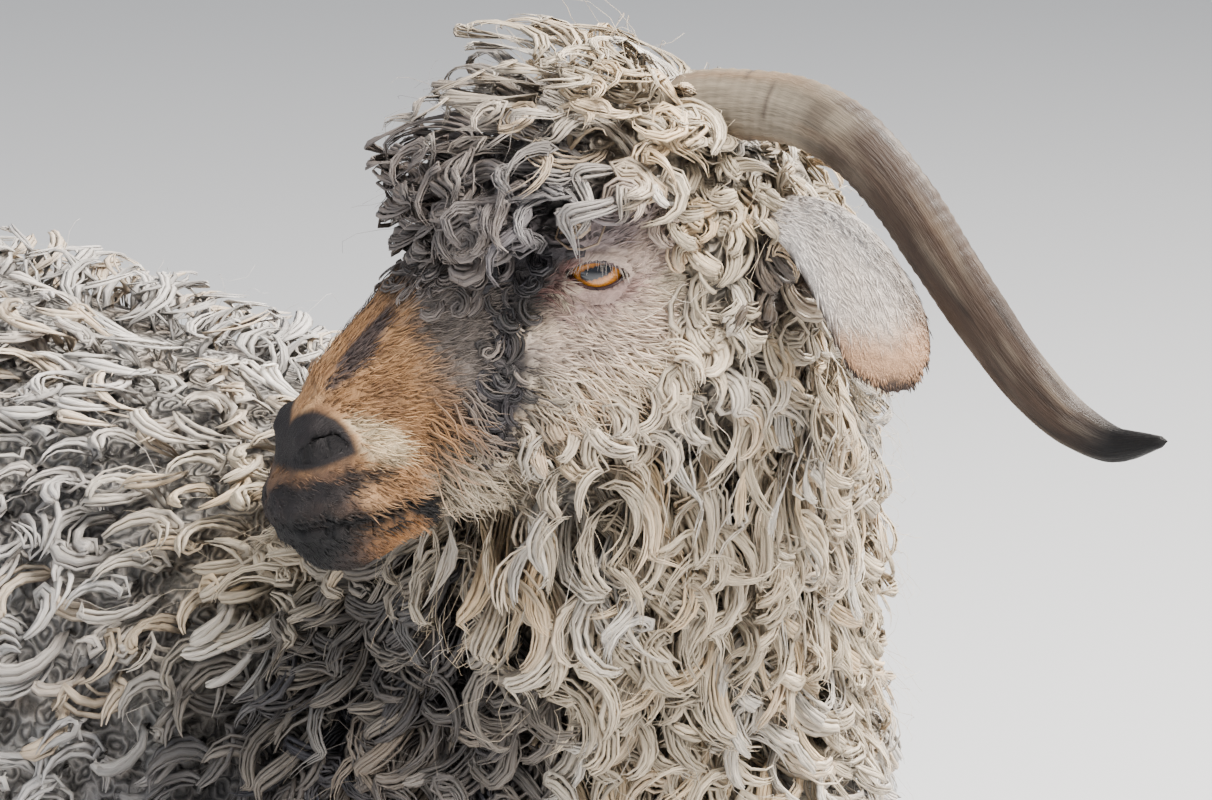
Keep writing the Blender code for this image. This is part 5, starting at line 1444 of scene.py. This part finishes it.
def lashes(name, side, finish, rng):
    """Pale lashes that hang from the upper lid over the eye."""
    line, look, ahead, rise = lid_line(side, 400)
    upper = (line - eye_at(side)) @ rise > 0.0012
    roots = line[rng.choice(np.flatnonzero(upper), LASHES)]
    roots = roots + look * 0.0009 + rng.normal(0, 0.0003, (LASHES, 3))
    t = np.linspace(0, 1, LASH_STEPS)[None, :, None]
    length = rng.uniform(0.0036, 0.0072, (LASHES, 1, 1))
    fan = ((roots - eye_at(side)) @ ahead / LID_HALF)[:, None, None] + rng.normal(0, 0.30, (LASHES, 1, 1))
    sag = -0.75 * t ** 1.7 * rise + 0.10 * t * rise
    path = from_head(roots[:, None] + length * (t * (0.85 * look + 0.45 * fan * ahead) + sag))
    half = np.full((LASHES, 1), 0.00011) * (1 - 0.85 * t[0, :, 0] ** 1.5)
    facing = np.tile(look @ AXES.T, (LASHES, LASH_STEPS, 1))
    tones = linear(LASH) * rng.uniform(0.7, 1.1, (LASHES, 1))
    strand_piece(f"lashes_{name}", path, half, facing, from_head(roots), tones, finish, 0.8)


def fed(tree, target, values):
    """The node with values given to its inputs: a number, a colour, or another node's output."""
    for key, value in values.items():
        if isinstance(value, bpy.types.NodeSocket):
            tree.links.new(value, target.inputs[key])
        else:
            target.inputs[key].default_value = value
    return target


def node(tree, kind, values, output, **settings):
    """An output of a new node of that kind, with its inputs and its settings."""
    made = tree.nodes.new("ShaderNode" + kind)
    for key, value in settings.items():
        setattr(made, key, value)
    return fed(tree, made, values).outputs[output]


def new_material(name):
    """A material with its nodes and its shader."""
    made = bpy.data.materials.new(name)
    made.use_nodes = True
    return made, made.node_tree, made.node_tree.nodes["Principled BSDF"]


def finish(name, rough, grain, depth, contrast, scale, specular, coat):
    """A finish whose colour is the tint of each point, broken up by grain that runs along the flow."""
    made, tree, shader = new_material(name)
    tint = node(tree, "Attribute", {}, "Color", attribute_name="tint")
    flow = node(tree, "Attribute", {}, "Vector", attribute_name="flow")
    way = node(tree, "Mapping", {"Vector": flow, "Scale": grain}, "Vector")
    fibre = node(tree, "TexNoise", {"Vector": way, "Scale": scale, "Detail": 3.0, "Roughness": 0.6}, "Fac")
    broad = node(tree, "TexNoise", {"Vector": way, "Scale": scale * 0.23, "Detail": 2.0}, "Fac")
    both = node(tree, "Math", {0: fibre, 1: broad}, "Value", operation="ADD")
    light = node(tree, "MapRange", {"Value": both, "From Min": 0.65, "From Max": 1.35,
                                    "To Min": 1 - contrast, "To Max": 1 + contrast}, "Result")
    gloss = node(tree, "MapRange", {"Value": fibre, "From Min": 0.3, "From Max": 0.7,
                                    "To Min": rough - 0.08, "To Max": rough + 0.08}, "Result")
    fed(tree, shader, {
        "Base Color": node(tree, "VectorMath", {0: tint, 1: light}, "Vector", operation="MULTIPLY"),
        "Roughness": gloss,
        "Normal": node(tree, "Bump", {"Height": fibre, "Strength": 0.6, "Distance": depth}, "Normal"),
        "Specular IOR Level": specular,
        "Coat Weight": coat,
        "Coat Roughness": 0.05,
    })
    return made


def underwool():
    """The dense wool between the locks: the tint broken into small curls, with painted shade darkening the
    troughs between them.
    """
    made, tree, shader = new_material("underwool")
    tint = node(tree, "Attribute", {}, "Color", attribute_name="tint")
    place = node(tree, "TexCoord", {}, "Object")
    warp = node(tree, "TexNoise", {"Vector": place, "Scale": 70.0, "Detail": 2.0}, "Color")
    centred = node(tree, "VectorMath", {0: warp, 1: (0.5, 0.5, 0.5)}, "Vector", operation="SUBTRACT")
    step = node(tree, "VectorMath", {0: centred, "Scale": 0.014}, "Vector", operation="SCALE")
    bent = node(tree, "VectorMath", {0: place, 1: step}, "Vector", operation="ADD")
    cells = node(tree, "TexVoronoi", {"Vector": bent, "Scale": 88.0}, "Distance")
    rings = node(tree, "Math", {0: cells, 1: 19.0}, "Value", operation="MULTIPLY")
    wave = node(tree, "Math", {0: rings}, "Value", operation="SINE")
    fibre = node(tree, "TexNoise", {"Vector": bent, "Scale": 900.0, "Detail": 3.0}, "Fac")
    both = node(tree, "Math", {0: wave, 1: fibre}, "Value", operation="ADD")
    # Painted shade: the tint darkens in the troughs of the curls and grows a little lighter on their crests
    light = node(tree, "MapRange", {"Value": both, "From Min": -0.6, "From Max": 1.5,
                                    "To Min": 0.28, "To Max": 1.15}, "Result")
    fed(tree, shader, {
        "Base Color": node(tree, "VectorMath", {0: tint, 1: light}, "Vector", operation="MULTIPLY"),
        "Normal": node(tree, "Bump", {"Height": both, "Strength": 0.8, "Distance": 0.003}, "Normal"),
        "Roughness": 0.7,
        "Specular IOR Level": 0.3,
    })
    return made


def fur_flow(points):
    """Grain coordinates for short hair on the skin, long the way it lies on face, legs and body."""
    q = to_head(points)
    near_head = smoothstep(0.20, 0.16, np.linalg.norm(q, axis=1))[:, None]
    warp = 0.004 * np.stack([ripple(points, 0.03, seed) for seed in (61, 62, 63)], axis=1)
    head_grain = (q + warp) * (0.16, 1, 1) + q[:, :1] * (0, 0, 0.25)
    body_grain = (points + warp) * (1, 1, 0.25)
    return head_grain * near_head + body_grain * (1 - near_head)


def skin_piece(finish):
    """The skin over the whole body; gives its points and faces, for the coat to grow on."""
    points, quads = net(body_under, SKIN_LOW, SKIN_HIGH, SKIN_CELL)
    points = solve(body_under, points, 2)
    points = evened(body_under, points, quads, 2, 0.6)
    points, faces = divided(points, quads)
    points = evened(skin_field, points, faces, 2, 0.5)
    points, faces = eye_opened(points, faces)
    depth = coat_depth(points)
    # The skin's tint darkens where the coat is deep: painted shade in the gaps between the locks
    tint = marking(points) * (1 - 0.35 * smoothstep(0.001, 0.012, depth)[:, None])
    skin = make_piece("skin", points, [faces], finish, tint, fur_flow(points))
    skin.data.materials.append(underwool())
    woolly = depth[faces].mean(axis=1) > WOOLLY
    skin.data.polygons.foreach_set("material_index", woolly.astype(np.int32))
    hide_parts("torso", "neck", "head", "tail", "leg_front_left", "leg_front_right",
                "leg_hind_left", "leg_hind_right")
    return points, faces


def coat_shares(points):
    """How thickly each kind of lock and hair grows at each point of the skin."""
    depth = coat_depth(points)
    ahead = coat_depth(points + 0.013 * coat_lie(points, normal_at(body_field, points)))
    q = on_left(to_head(points))
    x, y, z = q.T
    high = points[:, 2]
    far = np.linalg.norm(q - (0.02, 0, -0.02), axis=1)
    crown = smoothstep(0.003, 0.008, ahead) * (z > 0.018) * (x > -0.085) * (far < 0.12)
    by_neck = (far < 0.19) | ((points[:, 0] > 0.20) & (high > 0.50))
    neck = smoothstep(0.002, 0.006, ahead) * by_neck * (crown == 0)
    trunk = smoothstep(0.008, 0.012, depth) * (crown == 0) * (neck == 0)
    dark = stroke(q, DARK_CURLS, 0.002)
    brow = smoothstep(0.012, 0.020, x) * smoothstep(0.070, 0.062, x) * smoothstep(0.018, 0.026, z)
    from_eye = np.linalg.norm(q - EYE_AT, axis=1)
    patch = np.maximum(dark > 0.6, brow) * (far < 0.13) * (depth < 0.012) * (from_eye > 0.026)
    face = (1 - smoothstep(0.004, 0.012, depth)) * (high > 0.5) * (1 - 0.75 * dark)
    cheek = smoothstep(-0.030, -0.015, x) * smoothstep(0.098, 0.080, x) * smoothstep(-0.012, -0.024, z)
    cheek = cheek * (1 - dark) * (far < 0.125) * smoothstep(0.016, 0.006, depth) * smoothstep(0.0, 0.01, y)
    shank = (1 - smoothstep(0.006, 0.012, depth)) * (high < 0.35) * (high > 0.030)
    return {"crown": crown, "neck": neck, "trunk": trunk, "patch": patch, "face": face, "cheek_hair": cheek,
            "shank_fur": shank, "stray": np.maximum(neck, crown) + 0.12 * trunk}


def main():
    """Makes every piece of the goat."""
    rng = np.random.default_rng(SEED)
    looks = {name: finish(name, *values) for name, values in FINISHES.items()}
    fur = looks["short_hair"]
    points, faces = skin_piece(looks["hide"])
    shares = coat_shares(points)
    for name, kind in KINDS.items():
        roots = scattered(points, faces, shares[name], kind["apart"], kind["tries"], rng)
        lock_bundle(name + "_locks", roots, kind, looks["wool"], rng)
    stray_hairs("stray_hairs", scattered(points, faces, shares["stray"], 0, STRAY_HAIRS, rng), fur, rng)
    face_fur(points, faces, shares["face"], fur, rng)
    for name in HAIRS:
        coarse_fur(name, points, faces, shares[name], fur, rng)

    for name, side in (("left", 1), ("right", -1)):
        horn(f"horn_{name}_surface", side, looks["horn_sheath"])
        ear(name, side, looks["hide"], fur, rng)
        eyeball(name, side, looks["wet_eye"])
        lid_rim(name, side, looks["lid_rim"])
        lashes(name, side, fur, rng)
    for leg in STRIDE:
        for name, side in (("outer", 1), ("inner", -1)):
            claw(f"hoof_{leg}_{name}", leg, side if "left" in leg else -side, looks["hoof_horn"])


def set_up(name, data, place=(0, 0, 0), toward=None):
    """An object of the studio, at its place and turned to look along the way toward."""
    made = bpy.data.objects.new(name, data)
    made.location = place
    if toward is not None:
        made.rotation_euler = toward.to_track_quat("-Z", "Y").to_euler()
    bpy.context.scene.collection.objects.link(made)
    return made


def studio():
    """Pale floor, soft lights and the camera at the photograph's place."""
    mesh = bpy.data.meshes.new("floor")
    corners = [(a * FLOOR_HALF, b * FLOOR_HALF, 0) for a, b in ((-1, -1), (1, -1), (1, 1), (-1, 1))]
    mesh.from_pydata(corners, [], [(0, 1, 2, 3)])
    paint, tree, shader = new_material("floor_paint")
    fed(tree, shader, {"Base Color": FLOOR_COLOUR, "Roughness": 0.8})
    mesh.materials.append(paint)
    floor = set_up("floor", mesh)

    world = bpy.data.worlds.new("studio")
    bpy.context.scene.world = world
    world.use_nodes = True
    tree = world.node_tree
    fed(tree, tree.nodes["Background"], {"Color": SKY_COLOUR, "Strength": SKY_POWER})

    centre = Vector(SHIFT + LAMP_AIM)
    for name, (across, ahead, up), size, power, colour in LAMPS:
        light = bpy.data.lights.new(name, "AREA")
        light.shape = "DISK"
        light.size = size
        light.energy = power
        light.color = colour
        place = across * LAMP_RIGHT + ahead * LAMP_FRONT + Vector((0, 0, up))
        set_up(name, light, centre + LAMP_SCALE * place, -place)

    flat = math.cos(CAMERA_TILT)
    back = Vector((math.cos(CAMERA_TURN) * flat, math.sin(CAMERA_TURN) * flat, math.sin(CAMERA_TILT)))
    data = bpy.data.cameras.new("camera")
    data.lens = 36 * CAMERA_AWAY / (PHOTO_WIDTH * PIXEL)
    data.shift_x, data.shift_y = SHIFT_ACROSS / PHOTO_WIDTH, SHIFT_UP / PHOTO_WIDTH
    aim = Vector(from_head(CAMERA_AIM) + SHIFT)
    bpy.context.scene.camera = set_up("camera", data, aim + CAMERA_AWAY * back, -back)


main()
studio()
